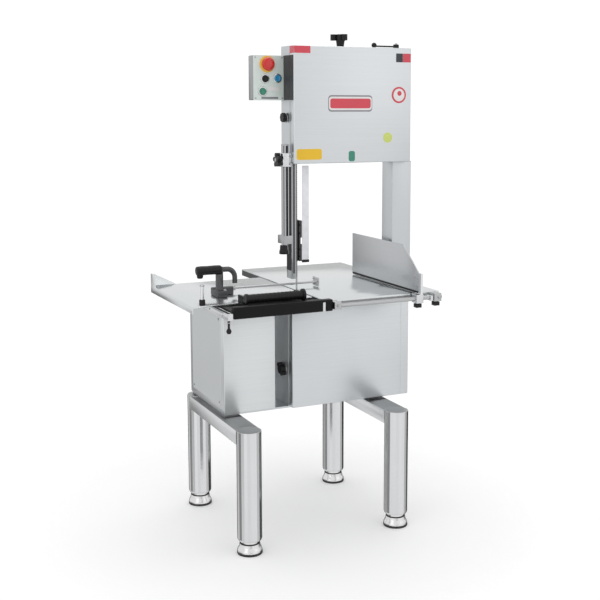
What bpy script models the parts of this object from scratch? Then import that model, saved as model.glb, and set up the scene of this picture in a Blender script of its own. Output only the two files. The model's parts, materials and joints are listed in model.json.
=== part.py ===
"""A floor-standing butcher's band saw with a sliding table, built as separate pieces.

Metres, +Z up, +X to the operator's right, +Y away from the operator.
The origin is on the floor, below the middle of the machine.
"""

import math

import bmesh
import bpy
from mathutils import Matrix, Vector

# ---------------------------------------------------------------- driving dimensions
GAP = 0.0003                 # space left where two pieces touch
SHEET = 0.003                # folded stainless sheet

LEG_X = (-0.286, 0.300)      # leg centres, left and right
LEG_Y = (-0.359, 0.169)      # leg centres, front and rear
LEG_RADIUS = 0.044
LEG_BORE = 0.0335
LEG_BOTTOM = 0.048
FOOT_HEIGHT = 0.024
FOOT_STEM_TOP = 0.120
BEAM_HALF_WIDTH = 0.042
BEAM_BOTTOM = 0.392
BEAM_TOP = 0.442
BEAM_WALL = 0.004
BASE_TOP = 0.450

BODY_TOP = 0.8537            # top of the lower housing and the side cabinet
BODY_REAR = 0.198
LOWER_DOOR_TOP = 0.826       # the door swings out below the rail's knobs
DOOR_FRONT = -0.201          # front face of both doors
DOOR_DEPTH = 0.0365
HOUSING_FRONT = DOOR_FRONT + DOOR_DEPTH + GAP
LOWER_X = (-0.049, 0.440)
CABINET_X = (-0.307, -0.105)
CABINET_FRONT = -0.174
BULKHEAD_Y = (-0.089, -0.083)

TABLE_TOP = 0.880
TABLE_BOTTOM = 0.854
TABLE_X = (-0.001, 0.462)
TABLE_Y = (-0.383, 0.425)
BED_TOP = 0.872
BED_X = (-0.356, -0.014)
BED_Y = (-0.412, 0.191)
BED_SKIRT = 0.847
BAR_HEIGHT = 0.888           # top of the thick bar along the bed's front edge
SLIDE_X = (-0.462, -0.014)
SLIDE_Y = (-0.295, 0.191)
SLIDE_BOTTOM = 0.873

COLUMN_X = (0.378, 0.459)
COLUMN_Y = (-0.175, -0.095)
COLUMN_WALL = 0.004

HEAD_X = (-0.040, 0.440)
HEAD_REAR = -0.089
HEAD_Z = (1.349, 1.768)
KNOB_Z = 1.806               # middle of the tension knob
SCREW_END = 1.620            # lower end of the tension screw
HEAD_LATCH_Z = 1.514
LOWER_LATCH_Z = 0.585
CARRIAGE_Y = (HEAD_REAR - SHEET - 0.014, HEAD_REAR - SHEET - 0.002)

WHEEL_RADIUS = 0.195
WHEEL_X = 0.191
WHEEL_Y = -0.143
WHEEL_WIDTH = 0.026
UPPER_WHEEL_Z = 1.5585
LOWER_WHEEL_Z = 0.652
BLADE_WIDTH = 0.016
BLADE_THICKNESS = 0.0008
BLADE_GAP = 0.0009           # more than a touch, because both are faceted
BLADE_LINE = WHEEL_RADIUS + BLADE_GAP + BLADE_THICKNESS / 2
BLADE_X = WHEEL_X - BLADE_LINE

MOTOR_X = 0.045
MOTOR_Z = 0.545
MOTOR_RADIUS = 0.075
DRIVEN_PULLEY_RADIUS = 0.070
MOTOR_PULLEY_RADIUS = 0.040
BELT_Y = -0.029

GUIDE_BOTTOM = 0.926
GUARD_X = (0.010, 0.036)
POST_X = (-0.033, -0.013)
POST_TOP = 1.470
GUIDE_Y = (-0.160, -0.116)
BAR_X = (-0.070, -0.048)
BAR_Y = (-0.174, -0.152)
BAR_TOP = 1.420
ARM_Z = (1.058, 1.088)

RAIL_Y = -0.407
RAIL_Z = 0.864
RAIL_RADIUS = 0.008
FENCE_X = 0.354
FENCE_TOP = 1.049

PUSHER_X = -0.316
PUSHER_Y = -0.150
PUSHER_ROD_Y = -0.109
PUSHER_BASE_X = (-0.326, -0.246)
PUSHER_FOOT_X = (-0.3262, -0.288)
PUSHER_GRIP_X = (-0.397, -0.304)
GRIP_Z = 0.978
GRIP_RADIUS = 0.0155
ROD_Z = 0.900

CONTROL_X = (-0.158, -0.0405)
CONTROL_Y = (-0.109, -0.063)
CONTROL_Z = (1.576, 1.735)
PANEL_THICKNESS = 0.003

UP = Vector((0, 0, 1))
ALONG_X = Vector((1, 0, 0))
ALONG_Y = Vector((0, 1, 0))


# ---------------------------------------------------------------- scene helpers
def clear_scene():
    """Start from an empty file."""
    for thing in list(bpy.data.objects):
        bpy.data.objects.remove(thing, do_unlink=True)


def new_collection(name):
    """Add a collection to the scene."""
    group = bpy.data.collections.new(name)
    bpy.context.scene.collection.children.link(group)
    return group


def material(name, colour, roughness, metallic=0.0):
    """A Principled material."""
    made = bpy.data.materials.new(name)
    made.use_nodes = True
    shader = made.node_tree.nodes["Principled BSDF"]
    shader.inputs["Base Color"].default_value = (*colour, 1.0)
    shader.inputs["Roughness"].default_value = roughness
    shader.inputs["Metallic"].default_value = metallic
    return made


clear_scene()
PARTS = new_collection("bone_saw")
CUTTERS = new_collection("cutters")

STAINLESS = dict(colour=(0.62, 0.64, 0.65), roughness=0.32, metallic=1.0)
POLISHED = dict(colour=(0.72, 0.73, 0.74), roughness=0.18, metallic=1.0)
CAST = dict(colour=(0.42, 0.43, 0.44), roughness=0.45, metallic=1.0)
STEEL = dict(colour=(0.50, 0.51, 0.52), roughness=0.30, metallic=1.0)
BLACK = dict(colour=(0.025, 0.025, 0.027), roughness=0.45)
RUBBER = dict(colour=(0.03, 0.03, 0.03), roughness=0.75)
WHITE = dict(colour=(0.80, 0.82, 0.82), roughness=0.35)


def finish_piece(piece, name, look, origin=None):
    """Name a piece, give it its own material and put its origin on its joint's axis."""
    piece.name = name
    piece.data.name = name
    piece.data.materials.clear()
    piece.data.materials.append(material(name, **look))
    if origin is not None:
        move = piece.matrix_world.inverted() @ Vector(origin)
        piece.data.transform(Matrix.Translation(-move))
        piece.matrix_world = piece.matrix_world @ Matrix.Translation(move)
    piece.data.shade_smooth()
    piece.data.set_sharp_from_angle(angle=math.radians(35))
    bpy.context.view_layer.update()
    return piece


def from_bmesh(shape, location=(0, 0, 0)):
    """Turn a bmesh into an object of the parts collection."""
    mesh = bpy.data.meshes.new("shape")
    shape.to_mesh(mesh)
    shape.free()
    thing = bpy.data.objects.new("shape", mesh)
    thing.location = location
    PARTS.objects.link(thing)
    bpy.context.view_layer.update()
    return thing


def aim(axis):
    """The rotation that takes +Z to an axis."""
    return UP.rotation_difference(Vector(axis).normalized())


def block(x, y, z, bevel=0.0):
    """A box between two limits on each axis, with its edges rounded by bevel."""
    shape = bmesh.new()
    bmesh.ops.create_cube(shape, size=1.0)
    size = Vector((x[1] - x[0], y[1] - y[0], z[1] - z[0]))
    bmesh.ops.scale(shape, vec=size, verts=shape.verts)
    centre = Vector((x[0] + x[1], y[0] + y[1], z[0] + z[1])) / 2
    thing = from_bmesh(shape, centre)
    if bevel:
        round_edges(thing, bevel)
    return thing


def round_edges(thing, width, segments=2):
    """Round the sharp edges of a piece."""
    rounding = thing.modifiers.new("rounding", "BEVEL")
    rounding.width = width
    rounding.segments = segments
    rounding.limit_method = "ANGLE"
    rounding.angle_limit = math.radians(50)


def rod(start, end, radius, segments=20, end_radius=None):
    """A straight round bar, or a cone, from one point to another."""
    start = Vector(start)
    end = Vector(end)
    shape = bmesh.new()
    tip = radius if end_radius is None else end_radius
    length = (end - start).length
    bmesh.ops.create_cone(shape, cap_ends=True, segments=segments,
                          radius1=radius, radius2=tip, depth=length)
    thing = from_bmesh(shape, (start + end) / 2)
    thing.rotation_mode = "QUATERNION"
    thing.rotation_quaternion = aim(end - start)
    bpy.context.view_layer.update()
    return thing


def turned(profile, centre, axis=UP, steps=32, ring=False):
    """A turned solid: (radius, height) points run down its outer side; a ring's loop closes."""
    shape = bmesh.new()
    points = [shape.verts.new((radius, 0, height)) for radius, height in profile]
    for first, second in zip(points, points[1:]):
        shape.edges.new((first, second))
    if ring:
        shape.edges.new((points[-1], points[0]))
    thing = from_bmesh(shape, centre)
    thing.rotation_mode = "QUATERNION"
    thing.rotation_quaternion = aim(axis)
    screw = thing.modifiers.new("turning", "SCREW")
    screw.steps = steps
    screw.render_steps = steps
    screw.use_merge_vertices = True
    screw.merge_threshold = 0.00001
    bpy.context.view_layer.update()
    return thing


def as_mesh(curve):
    """Replace a curve object by the mesh that it makes."""
    bpy.context.view_layer.update()
    evaluated = curve.evaluated_get(bpy.context.evaluated_depsgraph_get())
    mesh = bpy.data.meshes.new_from_object(evaluated)
    shape = bmesh.new()
    shape.from_mesh(mesh)
    bmesh.ops.remove_doubles(shape, verts=shape.verts, dist=0.00001)
    bmesh.ops.recalc_face_normals(shape, faces=shape.faces)
    shape.to_mesh(mesh)
    shape.free()
    thing = bpy.data.objects.new("shape", mesh)
    thing.matrix_world = curve.matrix_world
    PARTS.objects.link(thing)
    bpy.data.objects.remove(curve, do_unlink=True)
    bpy.context.view_layer.update()
    return thing


def path(points, closed=False, flat=False):
    """A curve object through the points, straight from one to the next."""
    data = bpy.data.curves.new("path", "CURVE")
    data.dimensions = "2D" if flat else "3D"
    spline = data.splines.new("POLY")
    spline.points.add(len(points) - 1)
    for place, point in zip(spline.points, points):
        place.co = (*point, 1.0)
    spline.use_cyclic_u = closed
    thing = bpy.data.objects.new("path", data)
    PARTS.objects.link(thing)
    return thing


def bent_bar(points, radius, resolution=2):
    """A round bar that follows a path."""
    curve = path(points)
    curve.data.bevel_depth = radius
    curve.data.bevel_resolution = resolution
    curve.data.use_fill_caps = True
    return as_mesh(curve)


def plate(outline, thickness, centre, rotation):
    """A flat plate: an outline in its own plane, extruded to both sides."""
    curve = path([(first, second, 0) for first, second in outline], closed=True, flat=True)
    curve.data.fill_mode = "BOTH"
    curve.data.extrude = thickness / 2
    curve.location = centre
    curve.rotation_euler = rotation
    return as_mesh(curve)


def band(loop, width, thickness):
    """A closed belt or blade: a loop of (x, z) points, wide along Y."""
    curve = path([(x, z, 0) for x, z in loop], closed=True)
    curve.data.extrude = width / 2
    curve.rotation_euler = (math.radians(90), 0, 0)
    thing = as_mesh(curve)
    shell = thing.modifiers.new("thickness", "SOLIDIFY")
    shell.thickness = thickness
    shell.offset = 0.0
    shell.use_even_offset = True
    return thing


def combine(piece, tools, operation):
    """Cut tools from a piece, or weld them to it."""
    for tool in tools:
        step = piece.modifiers.new(operation.lower(), "BOOLEAN")
        step.operation = operation
        step.object = tool
        PARTS.objects.unlink(tool)
        CUTTERS.objects.link(tool)
        tool.name = "cutter"
        tool.hide_render = True
        tool.display_type = "WIRE"
    bpy.context.view_layer.update()
    return piece


def cut(piece, *tools):
    """Take the tools' volume away from a piece."""
    return combine(piece, tools, "DIFFERENCE")


def weld(piece, *tools):
    """Add the tools' volume to a piece."""
    return combine(piece, tools, "UNION")


def arc(centre, radius, start, end, steps):
    """Points on an arc, with the angles in degrees."""
    for step in range(steps + 1):
        angle = math.radians(start + (end - start) * step / steps)
        yield (centre[0] + radius * math.cos(angle), centre[1] + radius * math.sin(angle))


def lobed_knob(centre, axis, lobes, reach, hub, thickness, stem=None):
    """A hand knob: a hub with lobes round it, and a stem of (radius, length) behind it."""
    axis = Vector(axis).normalized()
    centre = Vector(centre)
    half = axis * thickness / 2
    knob = rod(centre - half, centre + half, hub, 20)
    side = axis.orthogonal().normalized()
    lobe_radius = reach * 0.32
    for lobe in range(lobes):
        turn = Matrix.Rotation(math.tau * lobe / lobes, 3, axis)
        spot = centre + turn @ side * (reach - lobe_radius)
        grow = 1.0 - 0.002 * (lobe + 1)
        weld(knob, rod(spot - half * grow, spot + half * grow, lobe_radius, 10))
    if stem:
        weld(knob, rod(centre - half * 0.5, centre - half - axis * stem[1], stem[0], 16))
    return knob


# ---------------------------------------------------------------- stand
def make_stand():
    """Four tubular legs with levelling feet, a beam between each pair, and the body's base plate."""
    top_of_leg = BEAM_TOP
    leg_profile = [(0, top_of_leg), (LEG_RADIUS, top_of_leg), (LEG_RADIUS, LEG_BOTTOM + 0.008)]
    leg_profile += [(LEG_RADIUS - 0.0025, LEG_BOTTOM + 0.002), (LEG_RADIUS - 0.008, LEG_BOTTOM)]
    leg_profile += [(LEG_BORE, LEG_BOTTOM), (LEG_BORE, top_of_leg - 0.012), (0, top_of_leg - 0.012)]
    stem = LEG_BORE - GAP
    foot_profile = [(0, FOOT_STEM_TOP), (stem, FOOT_STEM_TOP), (stem, FOOT_HEIGHT), (0.041, 0.020)]
    foot_profile += [(LEG_RADIUS, 0.012), (LEG_RADIUS, 0.004), (LEG_RADIUS - 0.003, 0.0), (0, 0.0)]
    for side, x in zip(("left", "right"), LEG_X):
        beam = block((x - BEAM_HALF_WIDTH, x + BEAM_HALF_WIDTH), LEG_Y, (BEAM_BOTTOM, BEAM_TOP))
        cut(beam, block((x - BEAM_HALF_WIDTH + BEAM_WALL, x + BEAM_HALF_WIDTH - BEAM_WALL),
                        (LEG_Y[0] - 0.01, LEG_Y[1] + 0.01), (BEAM_BOTTOM + BEAM_WALL, BEAM_TOP - BEAM_WALL)))
        for y in LEG_Y:
            cut(beam, rod((x, y, BEAM_BOTTOM - 0.01), (x, y, BEAM_TOP + 0.01), LEG_RADIUS + 0.0006, 48))
        finish_piece(beam, f"beam_{side}", STAINLESS)
        for place, y in zip(("front", "rear"), LEG_Y):
            finish_piece(turned(leg_profile, (x, y, 0), steps=24), f"leg_{place}_{side}", POLISHED)
            foot = turned(foot_profile, (x, y, 0), steps=24)
            finish_piece(foot, f"foot_{place}_{side}", STEEL)
    base = block((CABINET_X[0] + 0.006, LOWER_X[1] - 0.004), (CABINET_FRONT + 0.012, BODY_REAR - 0.003),
                 (BEAM_TOP + GAP, BASE_TOP - GAP))
    finish_piece(base, "base_plate", STAINLESS)


# ---------------------------------------------------------------- lower body
def make_side_cabinet():
    """The closed box on the left, open below where it stands on the base plate."""
    cabinet = block(CABINET_X, (CABINET_FRONT, BODY_REAR), (BASE_TOP, BODY_TOP), 0.004)
    inside = block((CABINET_X[0] + SHEET, CABINET_X[1] - SHEET),
                   (CABINET_FRONT + SHEET, BODY_REAR - SHEET), (BASE_TOP - 0.01, BODY_TOP - SHEET))
    finish_piece(cut(cabinet, inside), "side_cabinet", STAINLESS)


def make_lower_housing():
    """The wheel compartment in front of a bulkhead, and the motor compartment behind it."""
    housing = block(LOWER_X, (HOUSING_FRONT, BODY_REAR - SHEET - GAP), (BASE_TOP, BODY_TOP))
    inner_x = (LOWER_X[0] + SHEET, LOWER_X[1] - SHEET)
    inner_z = (BASE_TOP + SHEET, BODY_TOP + 0.01)
    wheel_room = block(inner_x, (HOUSING_FRONT - 0.01, BULKHEAD_Y[0]), inner_z)
    motor_room = block(inner_x, (BULKHEAD_Y[1], BODY_REAR + 0.01), inner_z)
    bearing_hole = rod((WHEEL_X, BULKHEAD_Y[0] - 0.01, LOWER_WHEEL_Z),
                       (WHEEL_X, BULKHEAD_Y[1] + 0.01, LOWER_WHEEL_Z), 0.0305, 32)
    latch_hole = rod((LOWER_X[0] - 0.01, -0.129, LOWER_LATCH_Z), (LOWER_X[0] + 0.01, -0.129, LOWER_LATCH_Z),
                     0.0065, 16)
    cut(housing, wheel_room, motor_room, bearing_hole, latch_hole)
    fascia = block(LOWER_X, (DOOR_FRONT, HOUSING_FRONT + 0.004), (LOWER_DOOR_TOP + 0.0006, BODY_TOP - 0.0001))
    weld(housing, fascia)
    for low, high in ((0.48, 0.54), (0.75, 0.81)):
        weld(housing, hinge_leaf(LOWER_X[1], low, high))
    finish_piece(housing, "lower_housing", STAINLESS)
    cover = block(LOWER_X, (BODY_REAR - SHEET, BODY_REAR), (BASE_TOP, BODY_TOP))
    for row in range(5):
        height = 0.56 + row * 0.022
        cut(cover, block((0.09, 0.30), (BODY_REAR - 0.02, BODY_REAR + 0.02), (height, height + 0.006)))
    finish_piece(cover, "rear_cover", STAINLESS)


def hinge_leaf(edge, low, high):
    """A hinge leaf on the right-hand side, behind the door's pivot."""
    return block((edge - 0.001, edge + 0.003), (HOUSING_FRONT + 0.002, HOUSING_FRONT + 0.030), (low, high))


def pivot_place(edge, z):
    """A point on a door's hinge axis."""
    return (edge + 0.0015, DOOR_FRONT + DOOR_DEPTH - 0.0005, z)


def make_door(name, x, z):
    """A door: a folded tray that covers the whole front, with its pivot at the right."""
    rear = DOOR_FRONT + DOOR_DEPTH
    door = block(x, (DOOR_FRONT, rear), z, 0.003)
    inside = block((x[0] + SHEET, x[1] - SHEET), (DOOR_FRONT + SHEET, rear + 0.01),
                   (z[0] + SHEET, z[1] - SHEET))
    cut(door, inside)
    finish_piece(door, name, STAINLESS, pivot_place(x[1], z[0]))


def make_latch(name, edge, y, z, lobes, reach, thickness):
    """A quarter-turn latch: the hand knob outside, its spindle and the cam inside."""
    middle = (edge - thickness / 2 - 0.004, y, z)
    knob = lobed_knob(middle, (-1, 0, 0), lobes, reach, reach * 0.62, thickness)
    spindle = rod((edge - 0.010, y, z), (edge + 0.0050, y, z), 0.0060, 16)
    cam = block((edge + 0.0035, edge + 0.0055), (y - 0.007, y + 0.007), (z - 0.024, z + 0.007))
    finish_piece(weld(knob, spindle, cam), name, BLACK, (edge, y, z))


# ---------------------------------------------------------------- drive
def wheel_profile(bore):
    """One band wheel's section: rim, web and hub round a bore."""
    rim = WHEEL_RADIUS
    half = WHEEL_WIDTH / 2
    outer = [(rim, half), (rim, -half), (rim - 0.012, -half), (rim - 0.018, -0.004)]
    web = [(0.042, -0.004), (0.036, -half), (bore, -half), (bore, half)]
    back = [(0.036, half), (0.042, 0.004), (rim - 0.018, 0.004), (rim - 0.012, half)]
    return outer + web + back


def make_wheel(name, z, bore):
    """A cast wheel with six round lightening holes."""
    centre = Vector((WHEEL_X, WHEEL_Y, z))
    wheel = turned(wheel_profile(bore), centre, ALONG_Y, 40, ring=True)
    for hole in range(6):
        angle = math.tau * (hole + 0.5) / 6
        spot = centre + Vector((math.cos(angle), 0, math.sin(angle))) * 0.110
        cut(wheel, rod(spot - ALONG_Y * 0.02, spot + ALONG_Y * 0.02, 0.034, 12))
    finish_piece(wheel, name, CAST, centre)


def pulley_profile(radius, half, bore):
    """A V-belt pulley's section round a bore."""
    groove = [(radius, half), (radius, 0.006), (radius - 0.009, 0.003), (radius - 0.009, -0.003)]
    return groove + [(radius, -0.006), (radius, -half), (bore, -half), (bore, half)]


def belt_loop(radius_one, radius_two):
    """The belt's middle line round the two pulleys."""
    one = Vector((WHEEL_X, LOWER_WHEEL_Z))
    two = Vector((MOTOR_X, MOTOR_Z))
    line = one - two
    heading = math.degrees(math.atan2(line.y, line.x))
    lean = 180 - math.degrees(math.acos((radius_one - radius_two) / line.length))
    loop = list(arc(one, radius_one, heading - lean, heading + lean, 24))
    loop += list(arc(two, radius_two, heading + lean, heading + 360 - lean, 16))
    return loop


def make_drive():
    """The driven shaft in its bearing housing, the lower wheel, motor, pulleys and belt."""
    axle = (WHEEL_X, 0, LOWER_WHEEL_Z)
    housing = turned([(0.0300, -0.050), (0.0300, BULKHEAD_Y[0] - GAP), (0.046, BULKHEAD_Y[0] - GAP),
                      (0.046, -0.104), (0.0135, -0.104), (0.0135, -0.050)],
                     axle, ALONG_Y, 28, ring=True)
    finish_piece(housing, "lower_bearing_housing", CAST)
    shaft = turned([(0, -0.010), (0.0125, -0.010), (0.0125, -0.162), (0, -0.162)], axle, ALONG_Y, 32)
    centre = (WHEEL_X, BELT_Y, LOWER_WHEEL_Z)
    weld(shaft, turned(pulley_profile(DRIVEN_PULLEY_RADIUS, 0.010, 0.0100), centre, ALONG_Y, 32, ring=True))
    finish_piece(shaft, "drive_shaft", STEEL, (WHEEL_X, WHEEL_Y, LOWER_WHEEL_Z))
    make_wheel("lower_wheel", LOWER_WHEEL_Z, 0.0128)
    centre = (MOTOR_X, BELT_Y, MOTOR_Z)
    rotor = turned(pulley_profile(MOTOR_PULLEY_RADIUS, 0.010, 0.004), centre, ALONG_Y, 28, ring=True)
    weld(rotor, rod((MOTOR_X, BELT_Y - 0.012, MOTOR_Z), (MOTOR_X, 0.012, MOTOR_Z), 0.009, 16))
    finish_piece(rotor, "motor_pulley", CAST, centre)
    belt = band(belt_loop(DRIVEN_PULLEY_RADIUS - 0.004, MOTOR_PULLEY_RADIUS - 0.004), 0.0055, 0.006)
    belt.location.y = BELT_Y
    finish_piece(belt, "drive_belt", RUBBER)
    make_motor()


def make_motor():
    """The flanged motor on its foot, with a terminal box and a fan cowl."""
    front = BELT_Y + 0.028
    motor = rod((MOTOR_X, front, MOTOR_Z), (MOTOR_X, front + 0.125, MOTOR_Z), MOTOR_RADIUS, 32)
    foot = block((MOTOR_X - 0.062, MOTOR_X + 0.062), (front + 0.020, front + 0.110),
                 (BASE_TOP + SHEET + GAP, MOTOR_Z - 0.050))
    terminal_box = block((MOTOR_X - 0.040, MOTOR_X + 0.040), (front + 0.030, front + 0.100),
                         (MOTOR_Z + 0.050, MOTOR_Z + 0.105), 0.004)
    cowl = rod((MOTOR_X, front + 0.124, MOTOR_Z), (MOTOR_X, front + 0.165, MOTOR_Z), MOTOR_RADIUS + 0.003, 32)
    weld(motor, foot, terminal_box, cowl)
    shaft_hole = rod((MOTOR_X, front - 0.01, MOTOR_Z), (MOTOR_X, front + 0.020, MOTOR_Z), 0.0095, 16)
    finish_piece(cut(motor, shaft_hole), "motor", STEEL)


def make_lower_guide():
    """The fixed guide below the table, slotted for the blade."""
    guide = block((LOWER_X[0] + SHEET + GAP, 0.012), (-0.160, -0.116), (0.796, 0.840), 0.002)
    slot = block((BLADE_X - 0.003, BLADE_X + 0.003), (-0.170, -0.132), (0.78, 0.85))
    finish_piece(cut(guide, slot), "lower_blade_guide", BLACK)


# ---------------------------------------------------------------- column and head
def make_column():
    """The square hollow column that the blade comes back down in."""
    column = block(COLUMN_X, COLUMN_Y, (TABLE_TOP + GAP, HEAD_Z[0] - GAP))
    inner = block((COLUMN_X[0] + COLUMN_WALL, COLUMN_X[1] - COLUMN_WALL),
                  (COLUMN_Y[0] + COLUMN_WALL, COLUMN_Y[1] - COLUMN_WALL),
                  (TABLE_TOP - 0.01, HEAD_Z[0] + 0.01))
    finish_piece(cut(column, inner), "column", STAINLESS)


def make_head():
    """The upper wheel housing, open to the front behind its door."""
    housing = block(HEAD_X, (HOUSING_FRONT, HEAD_REAR), HEAD_Z)
    room = block((HEAD_X[0] + SHEET, HEAD_X[1] - SHEET), (HOUSING_FRONT - 0.01, HEAD_REAR - SHEET),
                 (HEAD_Z[0] + SHEET, HEAD_Z[1] - SHEET))
    guide_slot = block((HEAD_X[0] + SHEET, 0.046), (HOUSING_FRONT - 0.01, -0.106), (1.34, 1.36))
    return_slot = block((COLUMN_X[0] + 0.002, COLUMN_X[0] + 0.030), (-0.155, -0.130), (1.34, 1.36))
    screw_slot = block((WHEEL_X - 0.008, WHEEL_X + 0.008), (-0.112, -0.095), (1.75, 1.78))
    latch_hole = rod((HEAD_X[0] - 0.01, -0.130, HEAD_LATCH_Z), (HEAD_X[0] + 0.01, -0.130, HEAD_LATCH_Z),
                     0.0065, 16)
    cut(housing, room, guide_slot, return_slot, screw_slot, latch_hole)
    for low, high in ((1.38, 1.44), (1.68, 1.74)):
        weld(housing, hinge_leaf(HEAD_X[1], low, high))
    for side in (-1, 1):
        edge = WHEEL_X + side * 0.0625
        weld(housing, block((edge - 0.012, edge + 0.012), (CARRIAGE_Y[0] - 0.004, HEAD_REAR - 0.001),
                            (UPPER_WHEEL_Z - 0.109, UPPER_WHEEL_Z + 0.084)))
    finish_piece(housing, "head_housing", STAINLESS)


def make_tensioner():
    """The sliding carriage with its axle, the tension screw, its spring and the lever."""
    carriage = block((WHEEL_X - 0.050, WHEEL_X + 0.050), CARRIAGE_Y,
                     (UPPER_WHEEL_Z - 0.065, UPPER_WHEEL_Z + 0.055), 0.002)
    axle = rod((WHEEL_X, CARRIAGE_Y[1] - 0.002, UPPER_WHEEL_Z), (WHEEL_X, -0.160, UPPER_WHEEL_Z), 0.0125, 20)
    collar = rod((WHEEL_X, CARRIAGE_Y[1] - 0.004, UPPER_WHEEL_Z), (WHEEL_X, -0.1285, UPPER_WHEEL_Z), 0.020, 20)
    finish_piece(weld(carriage, axle, collar), "wheel_carriage", CAST,
                 (WHEEL_X, WHEEL_Y, UPPER_WHEEL_Z))
    make_wheel("upper_wheel", UPPER_WHEEL_Z, 0.0128)
    screw_y = -0.1035
    knob_place = (WHEEL_X, screw_y, KNOB_Z)
    knob = lobed_knob(knob_place, UP, 3, 0.036, 0.016, 0.022, (0.006, KNOB_Z - 0.011 - SCREW_END))
    finish_piece(knob, "tension_knob", BLACK, knob_place)
    turns = 5
    steps = turns * 12
    low = UPPER_WHEEL_Z + 0.100
    coil = [(WHEEL_X + 0.0095 * math.cos(math.tau * step / 12), screw_y + 0.0085 * math.sin(math.tau * step / 12),
             low + 0.075 * step / steps) for step in range(steps + 1)]
    finish_piece(bent_bar(coil, 0.0013, 1), "tension_spring", STEEL)
    make_tension_lever()


def make_tension_lever():
    """The flat quick-release lever on top of the head, with its ball."""
    pivot = Vector((0.414, -0.130, HEAD_Z[1] + GAP))
    lever = rod(pivot, pivot + UP * 0.016, 0.011, 20)
    arm = block((pivot.x - 0.090, pivot.x), (pivot.y - 0.007, pivot.y + 0.007),
                (pivot.z + 0.006, pivot.z + 0.011))
    shape = bmesh.new()
    bmesh.ops.create_uvsphere(shape, u_segments=14, v_segments=9, radius=0.010)
    ball = from_bmesh(shape, pivot + Vector((-0.094, 0, 0.0115)))
    finish_piece(weld(lever, arm, ball), "tension_lever", BLACK, pivot)


def make_blade():
    """The endless blade: two straight runs and a half turn round each wheel."""
    loop = list(arc((WHEEL_X, UPPER_WHEEL_Z), BLADE_LINE, 0, 180, 28))
    loop += list(arc((WHEEL_X, LOWER_WHEEL_Z), BLADE_LINE, 180, 360, 28))
    blade = band(loop, BLADE_WIDTH, BLADE_THICKNESS)
    blade.location.y = WHEEL_Y
    finish_piece(blade, "blade", STEEL)


# ---------------------------------------------------------------- upper blade guide
def make_guide():
    """The height-adjustable guide: post, outer bar on its arm, slotted jaws, guard and clamp."""
    post = block(POST_X, GUIDE_Y, (GUIDE_BOTTOM, POST_TOP), 0.001)
    finish_piece(post, "guide_post", POLISHED)
    jaw = (POST_X[1] + GAP, GUARD_X[0] - GAP)
    guide = block(jaw, GUIDE_Y, (0.990, 1.140), 0.002)
    cut(guide, block((0.004, 0.020), (-0.170, -0.100), (1.053, 1.077)))
    cut(guide, block((BLADE_X - 0.003, BLADE_X + 0.003), (-0.180, -0.132), (0.98, 1.15)))
    finish_piece(guide, "upper_blade_guide", BLACK)
    bar = block(BAR_X, BAR_Y, (ARM_Z[0] + 0.002, BAR_TOP), 0.002)
    weld(bar, block((BAR_X[0] - 0.0002, POST_X[0] - GAP), (BAR_Y[0] - 0.0002, -0.120), ARM_Z))
    weld(bar, rod((-0.059, -0.160, ARM_Z[0] + 0.004), (-0.059, -0.160, ARM_Z[0] - 0.036), 0.012, 18, 0.0165))
    finish_piece(bar, "guide_bar", POLISHED)
    guard = block(GUARD_X, (-0.1615, -0.1590), (0.986, 1.340))
    finish_piece(guard, "blade_guard", WHITE)
    clamp = block((-0.0750, HEAD_X[0] - GAP), (-0.182, -0.144), (1.338, 1.388), 0.0022)
    slack = 0.0005
    cut(clamp, block((BAR_X[0] - slack, BAR_X[1] + slack), (BAR_Y[0] - slack, BAR_Y[1] + slack), (1.30, 1.42)))
    cut(clamp, rod((-0.09, -0.163, 1.363), (-0.0722, -0.163, 1.363), 0.0055, 12))
    finish_piece(clamp, "guide_clamp", POLISHED)
    knob = lobed_knob((-0.0875, -0.163, 1.363), (-1, 0, 0), 5, 0.026, 0.015, 0.016, (0.005, 0.0068))
    finish_piece(knob, "guide_clamp_knob", BLACK, (-0.0875, -0.163, 1.363))


# ---------------------------------------------------------------- controls
BUTTONS = {"start_button": (-0.124, 1.607, (0.03, 0.35, 0.10)),
           "black_button": (-0.114, 1.652, (0.03, 0.03, 0.03)),
           "blue_button": (-0.066, 1.654, (0.02, 0.25, 0.65))}
STOP_PLACE = (-0.105, 1.704)
BUTTON_RADIUS = 0.0125


def make_controls():
    """The control box with its front panel, emergency stop and push buttons."""
    box = block(CONTROL_X, CONTROL_Y, CONTROL_Z, 0.003)
    pocket = block((CONTROL_X[0] + SHEET, CONTROL_X[1] - SHEET), (CONTROL_Y[0] - 0.01, CONTROL_Y[1] - SHEET),
                   (CONTROL_Z[0] + SHEET, CONTROL_Z[1] - SHEET))
    finish_piece(cut(box, pocket), "control_box", STAINLESS)
    front = CONTROL_Y[0] - GAP
    panel = block(CONTROL_X, (front - PANEL_THICKNESS, front), CONTROL_Z)
    for x, z, _ in BUTTONS.values():
        cut(panel, rod((x, front - 0.02, z), (x, front + 0.02, z), BUTTON_RADIUS + 0.0006, 20))
    x, z = STOP_PLACE
    cut(panel, rod((x, front - 0.02, z), (x, front + 0.02, z), 0.0106, 20))
    finish_piece(panel, "control_panel", WHITE)
    face = front - PANEL_THICKNESS
    for name, (x, z, colour) in BUTTONS.items():
        button = rod((x, face - 0.006, z), (x, face + 0.016, z), BUTTON_RADIUS, 20)
        finish_piece(button, name, dict(colour=colour, roughness=0.35), (x, face, z))
    x, z = STOP_PLACE
    mushroom = turned([(0, 0.024), (0.012, 0.023), (0.021, 0.019), (0.0240, 0.014), (0.0240, 0.010),
                       (0.010, 0.008), (0.010, -0.016), (0, -0.016)], (x, face, z), (0, -1, 0), 24)
    finish_piece(mushroom, "emergency_stop", dict(colour=(0.60, 0.02, 0.02), roughness=0.35), (x, face, z))


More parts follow.
